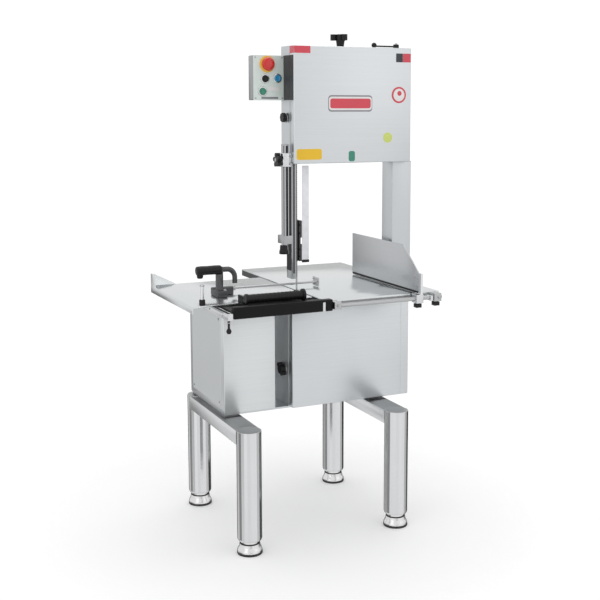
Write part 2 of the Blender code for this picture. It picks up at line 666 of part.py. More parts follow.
# ---------------------------------------------------------------- tables
def make_fixed_table():
    """The folded table to the right of the blade, cut for the blade's return run."""
    table = block(TABLE_X, TABLE_Y, (TABLE_BOTTOM, TABLE_TOP))
    under = block((TABLE_X[0] + SHEET, TABLE_X[1] - SHEET), (TABLE_Y[0] + SHEET, TABLE_Y[1] - SHEET),
                  (TABLE_BOTTOM - 0.01, TABLE_TOP - SHEET))
    return_slot = block((COLUMN_X[0] + 0.002, COLUMN_X[0] + 0.030), (-0.155, -0.130), (0.86, 0.90))
    finish_piece(cut(table, under, return_slot), "fixed_table", STAINLESS)


def make_slide_bed():
    """The black bed under the sliding table, and the guide rail along its left side."""
    bed = block(BED_X, BED_Y, (TABLE_BOTTOM, BED_TOP))
    strip_rear = TABLE_Y[0] - 0.001
    weld(bed, block((BED_X[0] - 0.0002, 0.013), (BED_Y[0] - 0.0002, strip_rear), (BED_SKIRT, BAR_HEIGHT), 0.004))
    cut(bed, block((BED_X[0] + 0.004, BED_X[1] - 0.004), (BED_Y[0] + 0.030, BED_Y[1] - 0.004),
                   (TABLE_BOTTOM - 0.01, BED_TOP - 0.004)))
    cut(bed, block((-0.026, -0.014), (BED_Y[0] - 0.01, BED_Y[0] + 0.018), (BED_SKIRT - 0.01, 0.880)))
    finish_piece(bed, "slide_bed", BLACK)
    rail = block((-0.383, -0.366), (-0.425, BED_Y[1]), (BED_SKIRT, BED_TOP - 0.001), 0.001)
    for y in (-0.380, -0.120, 0.140):
        weld(rail, block((-0.368, BED_X[0] - 0.0006), (y - 0.012, y + 0.012), (0.856, 0.868)))
    finish_piece(rail, "slide_rail", POLISHED)
    lock = turned([(0, -0.002), (0.004, -0.002), (0.004, -0.029), (0.0065, -0.031), (0.0088, -0.036),
                   (0.0088, -0.040), (0.006, -0.046), (0, -0.047)], (-0.374, -0.410, BED_SKIRT), steps=18)
    finish_piece(lock, "table_lock", BLACK, (-0.374, -0.410, BED_SKIRT))


def make_sliding_table():
    """The sliding table with its turned-down left edge and the raised corner at the rear."""
    table = block(SLIDE_X, SLIDE_Y, (SLIDE_BOTTOM, TABLE_TOP))
    left = SLIDE_X[0]
    weld(table, block((left, left + SHEET), SLIDE_Y, (TABLE_BOTTOM, TABLE_TOP - 0.001)))
    ear_top = TABLE_TOP + 0.046
    rear = SLIDE_Y[1]
    side_ear = plate([(rear - 0.055, TABLE_TOP - 0.003), (rear - 0.0001, TABLE_TOP - 0.003),
                      (rear - 0.0001, ear_top), (rear - 0.040, ear_top)], SHEET,
                     (left + SHEET / 2, 0, 0), (math.radians(90), 0, math.radians(90)))
    rear_ear = plate([(left, TABLE_TOP - 0.002), (left + 0.100, TABLE_TOP - 0.002),
                      (left + 0.092, TABLE_TOP + 0.004), (left + 0.012, ear_top - 0.001), (left, ear_top - 0.001)],
                     SHEET, (0, rear - SHEET / 2 - 0.0002, 0), (math.radians(90), 0, 0))
    finish_piece(weld(table, side_ear, rear_ear), "sliding_table", STAINLESS)


def make_table_handle():
    """The grip in front of the sliding table, between the two ends of its bracket."""
    y, z = -0.345, 0.9005
    ends = (-0.280, -0.076)
    foot_y = (-0.290, -0.270)
    bracket = block((ends[0] - 0.008, ends[1] + 0.008), foot_y, (TABLE_TOP + GAP, TABLE_TOP + 0.006))
    for x, radius in ((ends[0] - 0.004, 0.0175), (ends[1] + 0.004, 0.0205)):
        weld(bracket, block((x - 0.0035, x + 0.0035), (y, foot_y[1] - 0.002), (TABLE_TOP + 0.0012, z + 0.005)))
        weld(bracket, rod((x - 0.0039, y, z), (x + 0.0039, y, z), radius, 24))
    finish_piece(bracket, "table_handle_bracket", POLISHED)
    grip = rod((ends[0] + GAP, y, z), (ends[1] - GAP, y, z), 0.0155, 24)
    finish_piece(grip, "table_handle_grip", BLACK)


def make_pusher():
    """The food pusher: base with a post and a curved hand guard, the grip, and the cross rod."""
    base = block(PUSHER_BASE_X, (-0.123, -0.0985), (TABLE_TOP + GAP, 0.908), 0.003)
    weld(base, block(PUSHER_FOOT_X, (-0.174, -0.100), (TABLE_TOP + GAP + 0.0001, 0.904), 0.003))
    grip_end = PUSHER_GRIP_X[1]
    depth = (PUSHER_Y - 0.009, PUSHER_Y + 0.009)
    post = block((grip_end - 0.018, grip_end + 0.0045), depth, (0.900, GRIP_Z - GRIP_RADIUS - GAP), 0.001)
    end_plate = block((grip_end + GAP, grip_end + 0.0045), (depth[0] - 0.0005, depth[1] + 0.0005),
                      (0.930, GRIP_Z + 0.010))
    bend = [(grip_end + 0.022 + across, PUSHER_Y, GRIP_Z - 0.030 + rise)
            for across, rise in arc((0, 0), 0.030, 80, 0, 6)]
    guard = bent_bar([(grip_end + 0.0025, PUSHER_Y, GRIP_Z)] + bend + [(grip_end + 0.052, PUSHER_Y, 0.926)],
                     0.0095, 2)
    weld(base, post, end_plate, guard)
    cut(base, rod((PUSHER_X, PUSHER_ROD_Y, ROD_Z), (PUSHER_X + 0.10, PUSHER_ROD_Y, ROD_Z), 0.0049, 16))
    finish_piece(base, "pusher_base", CAST)
    grip = rod((PUSHER_GRIP_X[0], PUSHER_Y, GRIP_Z), (grip_end, PUSHER_Y, GRIP_Z), GRIP_RADIUS, 20)
    round_edges(grip, 0.004)
    heel_x = PUSHER_GRIP_X[0] + 0.014
    weld(grip, rod((heel_x, PUSHER_Y, GRIP_Z - 0.004), (heel_x, PUSHER_Y, GRIP_Z - 0.026), 0.0115, 16, 0.0085))
    finish_piece(grip, "pusher_grip", BLACK)
    tip = 0.094
    cross = rod((PUSHER_X + 0.001, PUSHER_ROD_Y, ROD_Z), (tip, PUSHER_ROD_Y, ROD_Z), 0.0045, 16)
    weld(cross, block((tip - 0.003, tip + 0.003), (-0.122, -0.078), (0.883, 0.916)))
    finish_piece(cross, "pusher_rod", POLISHED)


def make_fence():
    """The thickness fence, its carriage and knob, and the rail with its two brackets."""
    outline = [(-0.420, 0.884), (0.105, 0.884), (0.105, FENCE_TOP), (-0.304, FENCE_TOP), (-0.420, 0.954)]
    fence = plate(outline, 0.004, (FENCE_X + 0.002, 0, 0), (math.radians(90), 0, math.radians(90)))
    weld(fence, block((FENCE_X + 0.001, FENCE_X + 0.018), (-0.378, 0.100), (0.8815, 0.8855)))
    finish_piece(fence, "fence_plate", STAINLESS)
    carriage = block((0.343, 0.371), (-0.4245, -0.3885), (0.848, 0.880), 0.001)
    weld(carriage, block((FENCE_X + 0.004 + GAP, FENCE_X + 0.014), (-0.4240, -0.3890), (0.875, 0.955)))
    cut(carriage, rod((0.33, RAIL_Y, RAIL_Z), (0.39, RAIL_Y, RAIL_Z), RAIL_RADIUS + 0.0005, 24))
    finish_piece(carriage, "fence_carriage", POLISHED)
    knob = lobed_knob((0.357, RAIL_Y, 0.838), (0, 0, -1), 4, 0.015, 0.010, 0.014, None)
    finish_piece(knob, "fence_knob", BLACK, (0.357, RAIL_Y, 0.838))
    rail = rod((0.0145, RAIL_Y, RAIL_Z), (0.449, RAIL_Y, RAIL_Z), RAIL_RADIUS, 20)
    weld(rail, block((0.014, 0.040), (-0.4235, TABLE_Y[0] - GAP), (0.853, 0.8785), 0.001))
    weld(rail, block((0.418, 0.448), (-0.4235, TABLE_Y[0] - GAP), (0.850, 0.8790), 0.001))
    finish_piece(rail, "front_rail", POLISHED)
    knob = lobed_knob((0.433, RAIL_Y, 0.840), (0, 0, -1), 4, 0.015, 0.010, 0.014, None)
    finish_piece(knob, "rail_knob", BLACK, (0.433, RAIL_Y, 0.840))


make_stand()
make_side_cabinet()
make_lower_housing()
make_door("lower_door", LOWER_X, (BASE_TOP, LOWER_DOOR_TOP))
make_latch("lower_latch", LOWER_X[0], -0.129, LOWER_LATCH_Z, 2, 0.028, 0.018)
make_drive()
make_lower_guide()
make_column()
make_head()
make_door("head_door", HEAD_X, HEAD_Z)
make_latch("head_latch", HEAD_X[0], -0.130, HEAD_LATCH_Z, 8, 0.017, 0.013)
make_tensioner()
make_blade()
make_guide()
make_controls()
make_fixed_table()
make_slide_bed()
make_sliding_table()
make_table_handle()
make_pusher()
make_fence()
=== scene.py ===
"""The look of a floor-standing butcher's band saw: finishes, fittings, labels and light."""

import json
import math

import bmesh
import bpy
from mathutils import Matrix, Vector

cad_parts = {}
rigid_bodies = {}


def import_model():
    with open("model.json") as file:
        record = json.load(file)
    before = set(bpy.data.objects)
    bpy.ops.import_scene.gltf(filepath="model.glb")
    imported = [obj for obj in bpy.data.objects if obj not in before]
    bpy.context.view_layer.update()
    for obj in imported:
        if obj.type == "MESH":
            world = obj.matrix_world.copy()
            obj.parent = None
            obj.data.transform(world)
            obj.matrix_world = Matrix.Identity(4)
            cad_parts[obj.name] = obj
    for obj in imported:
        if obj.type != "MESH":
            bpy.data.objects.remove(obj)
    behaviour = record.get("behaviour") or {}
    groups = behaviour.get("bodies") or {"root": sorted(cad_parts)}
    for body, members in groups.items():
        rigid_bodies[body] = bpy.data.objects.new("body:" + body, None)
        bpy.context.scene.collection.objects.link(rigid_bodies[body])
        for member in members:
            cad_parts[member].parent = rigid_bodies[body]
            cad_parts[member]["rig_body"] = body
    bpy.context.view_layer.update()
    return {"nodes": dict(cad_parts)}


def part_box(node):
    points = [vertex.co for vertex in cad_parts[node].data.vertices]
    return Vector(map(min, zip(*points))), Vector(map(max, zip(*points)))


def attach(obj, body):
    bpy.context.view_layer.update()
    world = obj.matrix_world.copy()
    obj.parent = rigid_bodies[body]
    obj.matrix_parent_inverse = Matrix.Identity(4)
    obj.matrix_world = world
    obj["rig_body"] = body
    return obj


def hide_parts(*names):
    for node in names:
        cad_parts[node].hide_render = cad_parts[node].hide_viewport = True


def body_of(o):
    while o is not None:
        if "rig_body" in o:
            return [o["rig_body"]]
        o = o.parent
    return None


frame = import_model()

X_AXIS = Vector((1, 0, 0))
Y_AXIS = Vector((0, 1, 0))
Z_AXIS = Vector((0, 0, 1))


class Extent:
    """The limits and the middle of one CAD piece, at rest."""

    def __init__(self, node):
        low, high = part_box(node)
        self.left, self.front, self.bottom = low
        self.right, self.rear, self.top = high
        self.middle = (Vector(low) + Vector(high)) / 2
        self.size = Vector(high) - Vector(low)

    def wide(self, left, right):
        """From left to right, inside by two margins."""
        return self.left + left, self.right - right

    def deep(self, front, rear):
        """From front to rear, inside by two margins."""
        return self.front + front, self.rear - rear

    def tall(self, bottom, top):
        """From bottom to top, inside by two margins."""
        return self.bottom + bottom, self.top - top


def span(start, low, high):
    """Two limits, measured from one place."""
    return start + low, start + high


# ---- finishes
class Flow:
    """A number, colour or vector on its way through one finish's nodes."""

    def __init__(self, look, socket):
        self.look = look
        self.socket = socket

    def math(self, operation, first, second=0.0):
        return self.look.node("ShaderNodeMath", {"operation": operation}, {0: first, 1: second})

    def __add__(self, other):
        return self.math("ADD", self, other)

    def __sub__(self, other):
        return self.math("SUBTRACT", self, other)

    def __rsub__(self, other):
        return self.math("SUBTRACT", other, self)

    def __mul__(self, other):
        return self.math("MULTIPLY", self, other)

    __radd__ = __add__
    __rmul__ = __mul__

    def between(self, low, high):
        """0 below low, 1 above high, and smooth from one to the other."""
        return self.look.node("ShaderNodeMapRange", {"interpolation_type": "SMOOTHSTEP"},
                              {"Value": self, "From Min": low, "From Max": high})

    def larger(self, other):
        return self.math("MAXIMUM", self, other)

    def absolute(self):
        return self.math("ABSOLUTE", self)

    def fraction(self):
        return self.math("FRACT", self)


class Look:
    """One procedural finish on a Principled shader, or the studio's surround."""

    def __init__(self, name, library=bpy.data.materials):
        self.made = library.new(name)
        self.made.use_nodes = True
        self.tree = self.made.node_tree
        self.tree.nodes.clear()

    def node(self, kind, settings=None, sockets=None, output=0):
        """Make any node: its settings first, then the values or links of its sockets."""
        made = self.tree.nodes.new(kind)
        for name, value in (settings or {}).items():
            setattr(made, name, value)
        for name, value in (sockets or {}).items():
            if isinstance(value, Flow):
                self.tree.links.new(value.socket, made.inputs[name])
            else:
                made.inputs[name].default_value = value
        return None if output is None else Flow(self, made.outputs[output])

    def place(self, stretch=(1, 1, 1), shift=(0, 0, 0)):
        """Object coordinates, stretched and shifted."""
        spot = self.node("ShaderNodeTexCoord", output="Object")
        return self.node("ShaderNodeMapping", None, {"Vector": spot, "Location": shift, "Scale": stretch})

    def noise(self, scale, detail=2.0, roughness=0.5, stretch=(1, 1, 1)):
        """Noise from 0 to 1, with features about 1/scale metres across."""
        return self.node("ShaderNodeTexNoise", None,
                         {"Vector": self.place(stretch), "Scale": scale, "Detail": detail,
                          "Roughness": roughness})

    def cells(self, scale):
        """Distance from the nearest of many scattered points."""
        return self.node("ShaderNodeTexVoronoi", None, {"Vector": self.place(), "Scale": scale})

    def mix(self, factor, first, second):
        """A colour from first to second as factor goes from 0 to 1."""
        ends = [end if isinstance(end, Flow) else (*end[:3], 1.0) for end in (first, second)]
        return self.node("ShaderNodeMix", {"data_type": "RGBA"}, {0: factor, 6: ends[0], 7: ends[1]}, 2)

    def toned(self, colour, amount):
        """A colour made lighter or darker by a number."""
        return self.node("ShaderNodeVectorMath", {"operation": "SCALE"}, {0: colour, "Scale": amount})

    def edges(self, radius):
        """1 at sharp outer edges and 0 on open faces."""
        rounded = self.node("ShaderNodeBevel", {"samples": 4}, {"Radius": radius})
        plain = self.node("ShaderNodeNewGeometry", output="Normal")
        match = self.node("ShaderNodeVectorMath", {"operation": "DOT_PRODUCT"}, {0: rounded, 1: plain},
                          "Value")
        return (1.0 - match).between(0.02, 0.22)

    def along(self, vector, heading):
        """How far a vector points along a heading."""
        return self.node("ShaderNodeVectorMath", {"operation": "DOT_PRODUCT"}, {0: vector, 1: heading}, "Value")

    def finish(self, colour, roughness, metallic=0.0, height=None, depth=0.0002, **constants):
        """Fill the shader: what may vary, a bump of a depth in metres, and plain constants."""
        sockets = {"Base Color": colour, "Roughness": roughness, "Metallic": metallic, **constants}
        if height is not None:
            sockets["Normal"] = self.node("ShaderNodeBump", None,
                                          {"Height": height, "Distance": depth, "Strength": 1.0})
        shader = self.node("ShaderNodeBsdfPrincipled", None, sockets)
        output = self.tree.nodes.new("ShaderNodeOutputMaterial")
        self.tree.links.new(shader.socket, output.inputs["Surface"])
        return self.made


def brushed_sheet(name, colour, roughness, along, smears=0.05, painted_top_shade=0.0):
    """Stainless sheet with fine grinding lines along one axis, a faintly uneven sheen, and, when asked, painted
    shade that darkens faces pointing up.
    """
    look = Look(name)
    fine = [1600.0, 1600.0, 1600.0]
    fine[along] = 14.0
    broad = [260.0, 260.0, 260.0]
    broad[along] = 3.0
    lines = look.noise(1.0, 3.0, 0.6, fine)
    bands = look.noise(1.0, 2.0, 0.5, broad)
    cloud = look.noise(3.2, 3.0, 0.55)
    wipes = look.noise(9.0, 4.0, 0.6, (1.0, 1.0, 0.35))
    tone = (lines - 0.5) * 0.1 + (bands - 0.5) * 0.07 + (cloud - 0.5) * smears + 1.0
    # Painted shade: faces that point up are made darker, standing in for tops that fall in shade.
    if painted_top_shade:
        facing = look.along(look.node("ShaderNodeNewGeometry", output="Normal"), (0, 0, 1))
        tone = tone * (1.0 - facing.between(0.8, 0.96) * painted_top_shade)
    sheen = roughness + (lines - 0.5) * 0.14 + (cloud - 0.5) * 0.08 + wipes.between(0.55, 0.8) * 0.05
    return look.finish(look.toned(colour, tone), sheen, 1.0, lines * 0.7 + bands * 0.3, 0.00004)


def polished_tube(name, colour, roughness, along):
    """Polished tube or bar, with faint drawing lines along it and a few dull marks."""
    look = Look(name)
    drawn = [700.0, 700.0, 700.0]
    drawn[along] = 5.0
    lines = look.noise(1.0, 3.0, 0.6, drawn)
    cloud = look.noise(14.0, 3.0, 0.6)
    marks = look.noise(60.0, 4.0, 0.7).between(0.62, 0.8)
    tone = (lines - 0.5) * 0.08 + (cloud - 0.5) * 0.05 + 1.0
    sheen = roughness + (lines - 0.5) * 0.08 + (cloud - 0.5) * 0.05 + marks * 0.1
    return look.finish(look.toned(colour, tone), sheen, 1.0, lines, 0.00002)


def cast_metal(name, colour, roughness, grain=420.0, depth=0.00018):
    """Cast metal: a sandy surface with soft patches of tone."""
    look = Look(name)
    sand = look.noise(grain, 4.0, 0.65)
    pits = 1.0 - look.cells(grain * 0.6).between(0.05, 0.25)
    cloud = look.noise(24.0, 3.0)
    worn = look.edges(0.0012)
    tone = (cloud - 0.5) * 0.22 + (sand - 0.5) * 0.12 + worn * 0.25 - pits * 0.06 + 1.0
    sheen = roughness + (sand - 0.5) * 0.12 - worn * 0.1
    return look.finish(look.toned(colour, tone), sheen, 1.0, sand - pits * 0.5, depth)


def moulded(name, colour, roughness, wear, grain=900.0, depth=0.00007, coat=0.0, shine=0.5):
    """Moulded plastic or a textured coating: a fine grain, hand polish and paler edges."""
    look = Look(name)
    leather = look.noise(grain, 3.0, 0.6)
    cloud = look.noise(30.0, 3.0, 0.6)
    scuffs = look.noise(1.0, 4.0, 0.7, (60.0, 240.0, 240.0)).between(0.64, 0.8)
    rubbed = (look.edges(0.0011) * 0.8).larger(scuffs * 0.35)
    tone = (cloud - 0.5) * 0.3 + (leather - 0.5) * 0.12 + 1.0
    sheen = roughness + (cloud - 0.5) * 0.14 + (leather - 0.5) * 0.1 - rubbed * 0.08
    return look.finish(look.mix(rubbed * 0.5, look.toned(colour, tone), wear), sheen, 0.0, leather, depth,
                       **{"Coat Weight": coat, "Coat Roughness": 0.12, "Specular IOR Level": shine})


def gloss_plastic(name, colour, roughness=0.22):
    """Glossy coloured plastic with a faint ripple, hairline scratches and a clear coat."""
    look = Look(name)
    ripple = look.noise(90.0, 2.0)
    cloud = look.noise(45.0, 3.0)
    hairs = look.noise(1.0, 4.0, 0.7, (1400.0, 90.0, 260.0)).between(0.66, 0.76)
    tone = (cloud - 0.5) * 0.16 - hairs * 0.05 + 1.0
    return look.finish(look.toned(colour, tone), roughness + hairs * 0.2 + (cloud - 0.5) * 0.08, 0.0,
                       ripple, 0.00005, **{"Coat Weight": 0.6, "Coat Roughness": 0.1})


def rubber(name, colour, roughness=0.72):
    """Matt rubber with dust in its grain."""
    look = Look(name)
    grain = look.noise(1100.0, 3.0, 0.7)
    dust = look.noise(55.0, 5.0, 0.65).between(0.5, 0.78)
    shade = look.mix(dust * 0.35, look.toned(colour, (grain - 0.5) * 0.3 + 1.0), (0.16, 0.155, 0.15))
    return look.finish(shade, roughness + (grain - 0.5) * 0.15, 0.0, grain, 0.0001)


def vinyl(name, colour, border=None, roughness=0.34):
    """A printed vinyl label: even colour with slight mottling and a soft satin coat."""
    look = Look(name)
    mottle = look.noise(160.0, 4.0, 0.6)
    fade = look.noise(26.0, 2.0)
    shade = look.toned(colour, (mottle - 0.5) * 0.08 + (fade - 0.5) * 0.14 + 1.0)
    if border is not None:
        shade = look.mix(look.edges(0.0016) * 0.8, shade, border)
    return look.finish(shade, roughness + (mottle - 0.5) * 0.1, 0.0, mottle, 0.00002,
                       **{"Coat Weight": 0.25, "Coat Roughness": 0.2})


def scale_strip():
    """A steel rule along the table's front edge: a long tick each centimetre and a short one between."""
    look = Look("scale_strip")
    spot = look.node("ShaderNodeSeparateXYZ", None, {0: look.place()})
    height = look.node("ShaderNodeSeparateXYZ", None, {0: look.place()}, 2)
    step = (spot * 200.0).fraction()
    line = 1.0 - (step - 0.5).absolute().between(0.4, 0.46)
    tall = (spot * 100.0).fraction()
    long_line = 1.0 - (tall - 0.5).absolute().between(0.45, 0.475)
    top = Extent("fixed_table").top - 0.006
    short_zone = (height - (top - 0.004)).between(-0.0002, 0.0002)
    long_zone = (height - (top - 0.008)).between(-0.0002, 0.0002)
    ink = ((1.0 - line) * short_zone).larger((1.0 - long_line) * long_zone)
    grain = look.noise(500.0, 3.0, 0.6, (0.2, 1.0, 1.0))
    tone = (grain - 0.5) * 0.12 + 1.0
    return look.finish(look.mix(ink, look.toned((0.62, 0.63, 0.64), tone), (0.03, 0.03, 0.03)),
                       ink * 0.2 + 0.3, 1.0 - ink, grain, 0.00003)


SCALE_STRIP = scale_strip()
SHEET = brushed_sheet("stainless_sheet", (0.66, 0.685, 0.7), 0.36, 0)
# Beams and leg caps: painted shade darkens their upward faces.
BEAM_SHEET = brushed_sheet("stainless_beam", (0.8, 0.81, 0.82), 0.3, 1, painted_top_shade=0.54)
CABINET_SHEET = brushed_sheet("stainless_cabinet", (0.74, 0.765, 0.775), 0.36, 0)
# Painted light: a paler, rougher sheet for the lower housing lifts its shaded recess beside the cabinet.
LIFTED_HOUSING_SHEET = brushed_sheet("stainless_housing_painted_light", (0.92, 0.93, 0.94), 0.48, 2)
DOOR_SHEET = brushed_sheet("stainless_door", (0.7, 0.725, 0.74), 0.38, 0)
TABLE_SHEET = brushed_sheet("stainless_table", (0.745, 0.77, 0.78), 0.2, 1, 0.03)
FENCE_SHEET = brushed_sheet("stainless_fence", (0.54, 0.555, 0.57), 0.3, 1)
UPRIGHT_SHEET = brushed_sheet("stainless_upright", (0.6, 0.625, 0.64), 0.34, 2)
TUBE = polished_tube("polished_leg_tube", (0.74, 0.745, 0.755), 0.15, 2)
BRIGHT_BAR = polished_tube("bright_bar", (0.7, 0.71, 0.72), 0.2, 2)
BRIGHT_RAIL = polished_tube("bright_rail", (0.5, 0.505, 0.51), 0.22, 0)
GUIDE_STEEL = polished_tube("guide_steel", (0.43, 0.435, 0.445), 0.24, 2)
BOX_SHEET = brushed_sheet("stainless_box", (0.4, 0.405, 0.415), 0.32, 2)
FOOT_STEEL = polished_tube("foot_steel", (0.8, 0.8, 0.8), 0.16, 2)
PLAIN_STEEL = polished_tube("plain_steel", (0.48, 0.485, 0.49), 0.3, 0)
CASTING = cast_metal("grey_casting", (0.12, 0.12, 0.124), 0.46)
WHEEL_CASTING = cast_metal("wheel_casting", (0.5, 0.51, 0.52), 0.34, 600.0, 0.0001)
MOTOR_PAINT = moulded("motor_paint", (0.18, 0.21, 0.24), 0.42, (0.45, 0.46, 0.47))
BLACK_PLASTIC = moulded("black_moulding", (0.01, 0.01, 0.011), 0.4, (0.05, 0.05, 0.052), shine=0.3)
JAW_PLASTIC = moulded("grey_jaw", (0.045, 0.045, 0.048), 0.44, (0.12, 0.12, 0.125), shine=0.35)
BLACK_COAT = moulded("black_coating", (0.005, 0.005, 0.0055), 0.42, (0.045, 0.045, 0.047), 1400.0,
                     0.00005, shine=0.18)
GUARD_PLASTIC = moulded("guard_plastic", (0.82, 0.83, 0.86), 0.3, (0.8, 0.81, 0.82), coat=0.3)
PANEL_VINYL = vinyl("panel_vinyl", (0.68, 0.76, 0.72), (0.4, 0.45, 0.43))
RUBBER = rubber("black_rubber", (0.022, 0.022, 0.022))
RED_PLASTIC = gloss_plastic("red_plastic", (0.62, 0.012, 0.01))
GREEN_PLASTIC = gloss_plastic("green_plastic", (0.015, 0.22, 0.14))
BLUE_PLASTIC = gloss_plastic("blue_plastic", (0.02, 0.26, 0.5))
YELLOW_PLASTIC = gloss_plastic("yellow_plastic", (0.88, 0.5, 0.04), 0.34)
RED_LABEL = vinyl("red_label", (0.64, 0.055, 0.085))
DARK_LABEL = vinyl("dark_label", (0.02, 0.025, 0.035))
WHITE_LABEL = vinyl("white_label", (0.78, 0.76, 0.76))
YELLOW_LABEL = vinyl("yellow_label", (0.82, 0.5, 0.008), (0.78, 0.66, 0.1))
GREEN_LABEL = vinyl("green_label", (0.03, 0.24, 0.16), (0.35, 0.62, 0.52))
LIME_LABEL = vinyl("lime_label", (0.6, 0.68, 0.17), (0.7, 0.76, 0.44))
GREY_LABEL = vinyl("grey_label", (0.22, 0.21, 0.24))


# ---- shaping
def choose(*pieces):
    """Leave edit mode and select only these pieces."""
    active = bpy.context.view_layer.objects.active
    if active is not None and active.mode != "OBJECT":
        bpy.ops.object.mode_set(mode="OBJECT")
    bpy.ops.object.select_all(action="DESELECT")
    for piece in pieces:
        piece.select_set(True)
    if pieces:
        bpy.context.view_layer.objects.active = pieces[0]


def edit(piece):
    """Go into edit mode with all of a piece selected."""
    choose(piece)
    bpy.ops.object.mode_set(mode="EDIT")
    bpy.ops.mesh.select_mode(type="VERT")
    bpy.ops.mesh.select_all(action="SELECT")


def pick(piece, kind, test):
    """In edit mode, select only the faces, edges or vertices that pass a test."""
    bpy.ops.mesh.select_mode(type=kind)
    bpy.ops.mesh.select_all(action="DESELECT")
    mesh = bmesh.from_edit_mesh(piece.data)
    chosen = {"VERT": mesh.verts, "EDGE": mesh.edges, "FACE": mesh.faces}[kind]
    for element in chosen:
        element.select_set(test(element))
    bmesh.update_edit_mesh(piece.data)


def direction(edge):
    """The unit direction of an edge."""
    return (edge.verts[1].co - edge.verts[0].co).normalized()


def modified(piece, kind, **settings):
    """Add a modifier and apply it at once."""
    choose(piece)
    modifier = piece.modifiers.new("shaping", kind)
    for name, value in settings.items():
        setattr(modifier, name, value)
    bpy.ops.object.modifier_apply(modifier=modifier.name)
    return piece


def rounded(piece, width, segments=2, angle=40):
    """Round the edges that are sharper than an angle, and shade them smoothly."""
    modified(piece, "BEVEL", width=width, segments=segments, limit_method="ANGLE",
             angle_limit=math.radians(angle), use_clamp_overlap=True, harden_normals=False)
    return smooth(piece)


def smooth(piece, angle=38):
    """Smooth shading up to an angle."""
    choose(piece)
    bpy.ops.object.shade_smooth_by_angle(angle=math.radians(angle))
    return piece


def settle(piece, place=(0, 0, 0), axis=None):
    """Turn a piece's +Z to an axis, put it at its place and leave its object at the origin."""
    choose(piece)
    if axis is not None:
        piece.rotation_mode = "QUATERNION"
        piece.rotation_quaternion = Z_AXIS.rotation_difference(Vector(axis))
    piece.location = Vector(piece.location) + Vector(place)
    bpy.ops.object.transform_apply(location=True, rotation=True, scale=True)
    piece.rotation_mode = "XYZ"
    return piece


def done(piece, name, body, look):
    """Name a finished piece, give it its finish and let it ride on its body."""
    piece.name = name
    piece.data.name = name
    piece.data.materials.clear()
    piece.data.materials.append(look)
    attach(piece, body)
    return piece


def copied(piece, move):
    """A copy of a piece with its own mesh, moved by a vector."""
    choose(piece)
    bpy.ops.object.duplicate(linked=False)
    twin = bpy.context.view_layer.objects.active
    twin.data.transform(Matrix.Translation(Vector(move)))
    return twin


def joined(pieces):
    """Join several pieces into the first one."""
    choose(*pieces)
    if len(pieces) > 1:
        bpy.ops.object.join()
    return pieces[0]


def block(x, y, z):
    """A box between two limits on each axis, as the start of a piece."""
    choose()
    middle = [(low + high) / 2 for low, high in (x, y, z)]
    size = [high - low for low, high in (x, y, z)]
    bpy.ops.mesh.primitive_cube_add(size=1.0, location=middle, scale=size)
    piece = bpy.context.view_layer.objects.active
    bpy.ops.object.transform_apply(location=True, rotation=True, scale=True)
    return piece


def turned(rings, place, axis=Z_AXIS, sides=32, hollow=False):
    """A turned piece: a disc drawn out through (radius, height) rings; a hollow one closes on itself."""
    choose()
    radius, height = rings[0]
    bpy.ops.mesh.primitive_circle_add(vertices=sides, radius=radius, location=(0, 0, height),
                                      fill_type="NOTHING" if hollow else "NGON")
    piece = bpy.context.view_layer.objects.active
    bpy.ops.object.transform_apply(location=True, rotation=True, scale=True)
    edit(piece)
    loop = list(rings[1:]) + ([rings[0]] if hollow else [])
    for new_radius, new_height in loop:
        bpy.ops.mesh.extrude_region_move(TRANSFORM_OT_translate={"value": (0, 0, new_height - height)})
        scale = new_radius / radius
        bpy.ops.transform.resize(value=(scale, scale, 1.0), center_override=(0, 0, 0))
        radius, height = new_radius, new_height
    bpy.ops.mesh.select_all(action="SELECT")
    bpy.ops.mesh.remove_doubles(threshold=0.000005)
    bpy.ops.mesh.normals_make_consistent(inside=False)
    choose(piece)
    settle(piece, place, axis)
    return smooth(piece)


def rounded_plate(x, y, z, corner, thin_axis, rim=0.0003, segments=6):
    """A thin plate with round corners and a softened rim."""
    piece = block(x, y, z)
    edit(piece)
    pick(piece, "EDGE", lambda edge: abs(direction(edge)[thin_axis]) > 0.9)
    bpy.ops.mesh.bevel(offset=corner, segments=segments, affect="EDGES")
    choose(piece)
    return rounded(piece, rim, 1, 60)


def from_node(node, width, look, segments=2, angle=30):
    """The CAD piece with its flat faces joined up and its edges rounded, in place of the node."""
    choose()
    source = frame["nodes"][node]
    piece = bpy.data.objects.new(node + ".finished", source.data.copy())
    bpy.context.scene.collection.objects.link(piece)
    edit(piece)
    bpy.ops.mesh.remove_doubles(threshold=0.00001)
    bpy.ops.mesh.dissolve_limited(angle_limit=math.radians(0.6))
    choose(piece)
    bpy.ops.mesh.customdata_custom_splitnormals_clear()
    rounded(piece, width, segments, angle)
    done(piece, node + ".finished", body_of(source)[0], look)
    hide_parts(node)
    return piece


def repaint(look, *nodes):
    """Give CAD pieces a finish."""
    for node in nodes:
        piece = frame["nodes"][node]
        piece.data.materials.clear()
        piece.data.materials.append(look)


# ---- small hardware
def hex_bolt(place, axis, across=0.01, height=0.0055):
    """A hexagon-headed bolt on a washer."""
    radius = across / math.sqrt(3)
    washer = turned([(radius * 1.25, 0.0), (radius * 1.25, 0.0008), (radius * 1.15, 0.0012)], place, axis, 20)
    head = turned([(radius, 0.001), (radius, height - 0.0012), (radius * 0.86, height)], place, axis, 6)
    shank = turned([(radius * 0.52, height - 0.0002), (radius * 0.52, height + 0.0004),
                    (radius * 0.4, height + 0.0008)], place, axis, 16)
    smooth(head, 20)
    return joined([head, washer, shank])


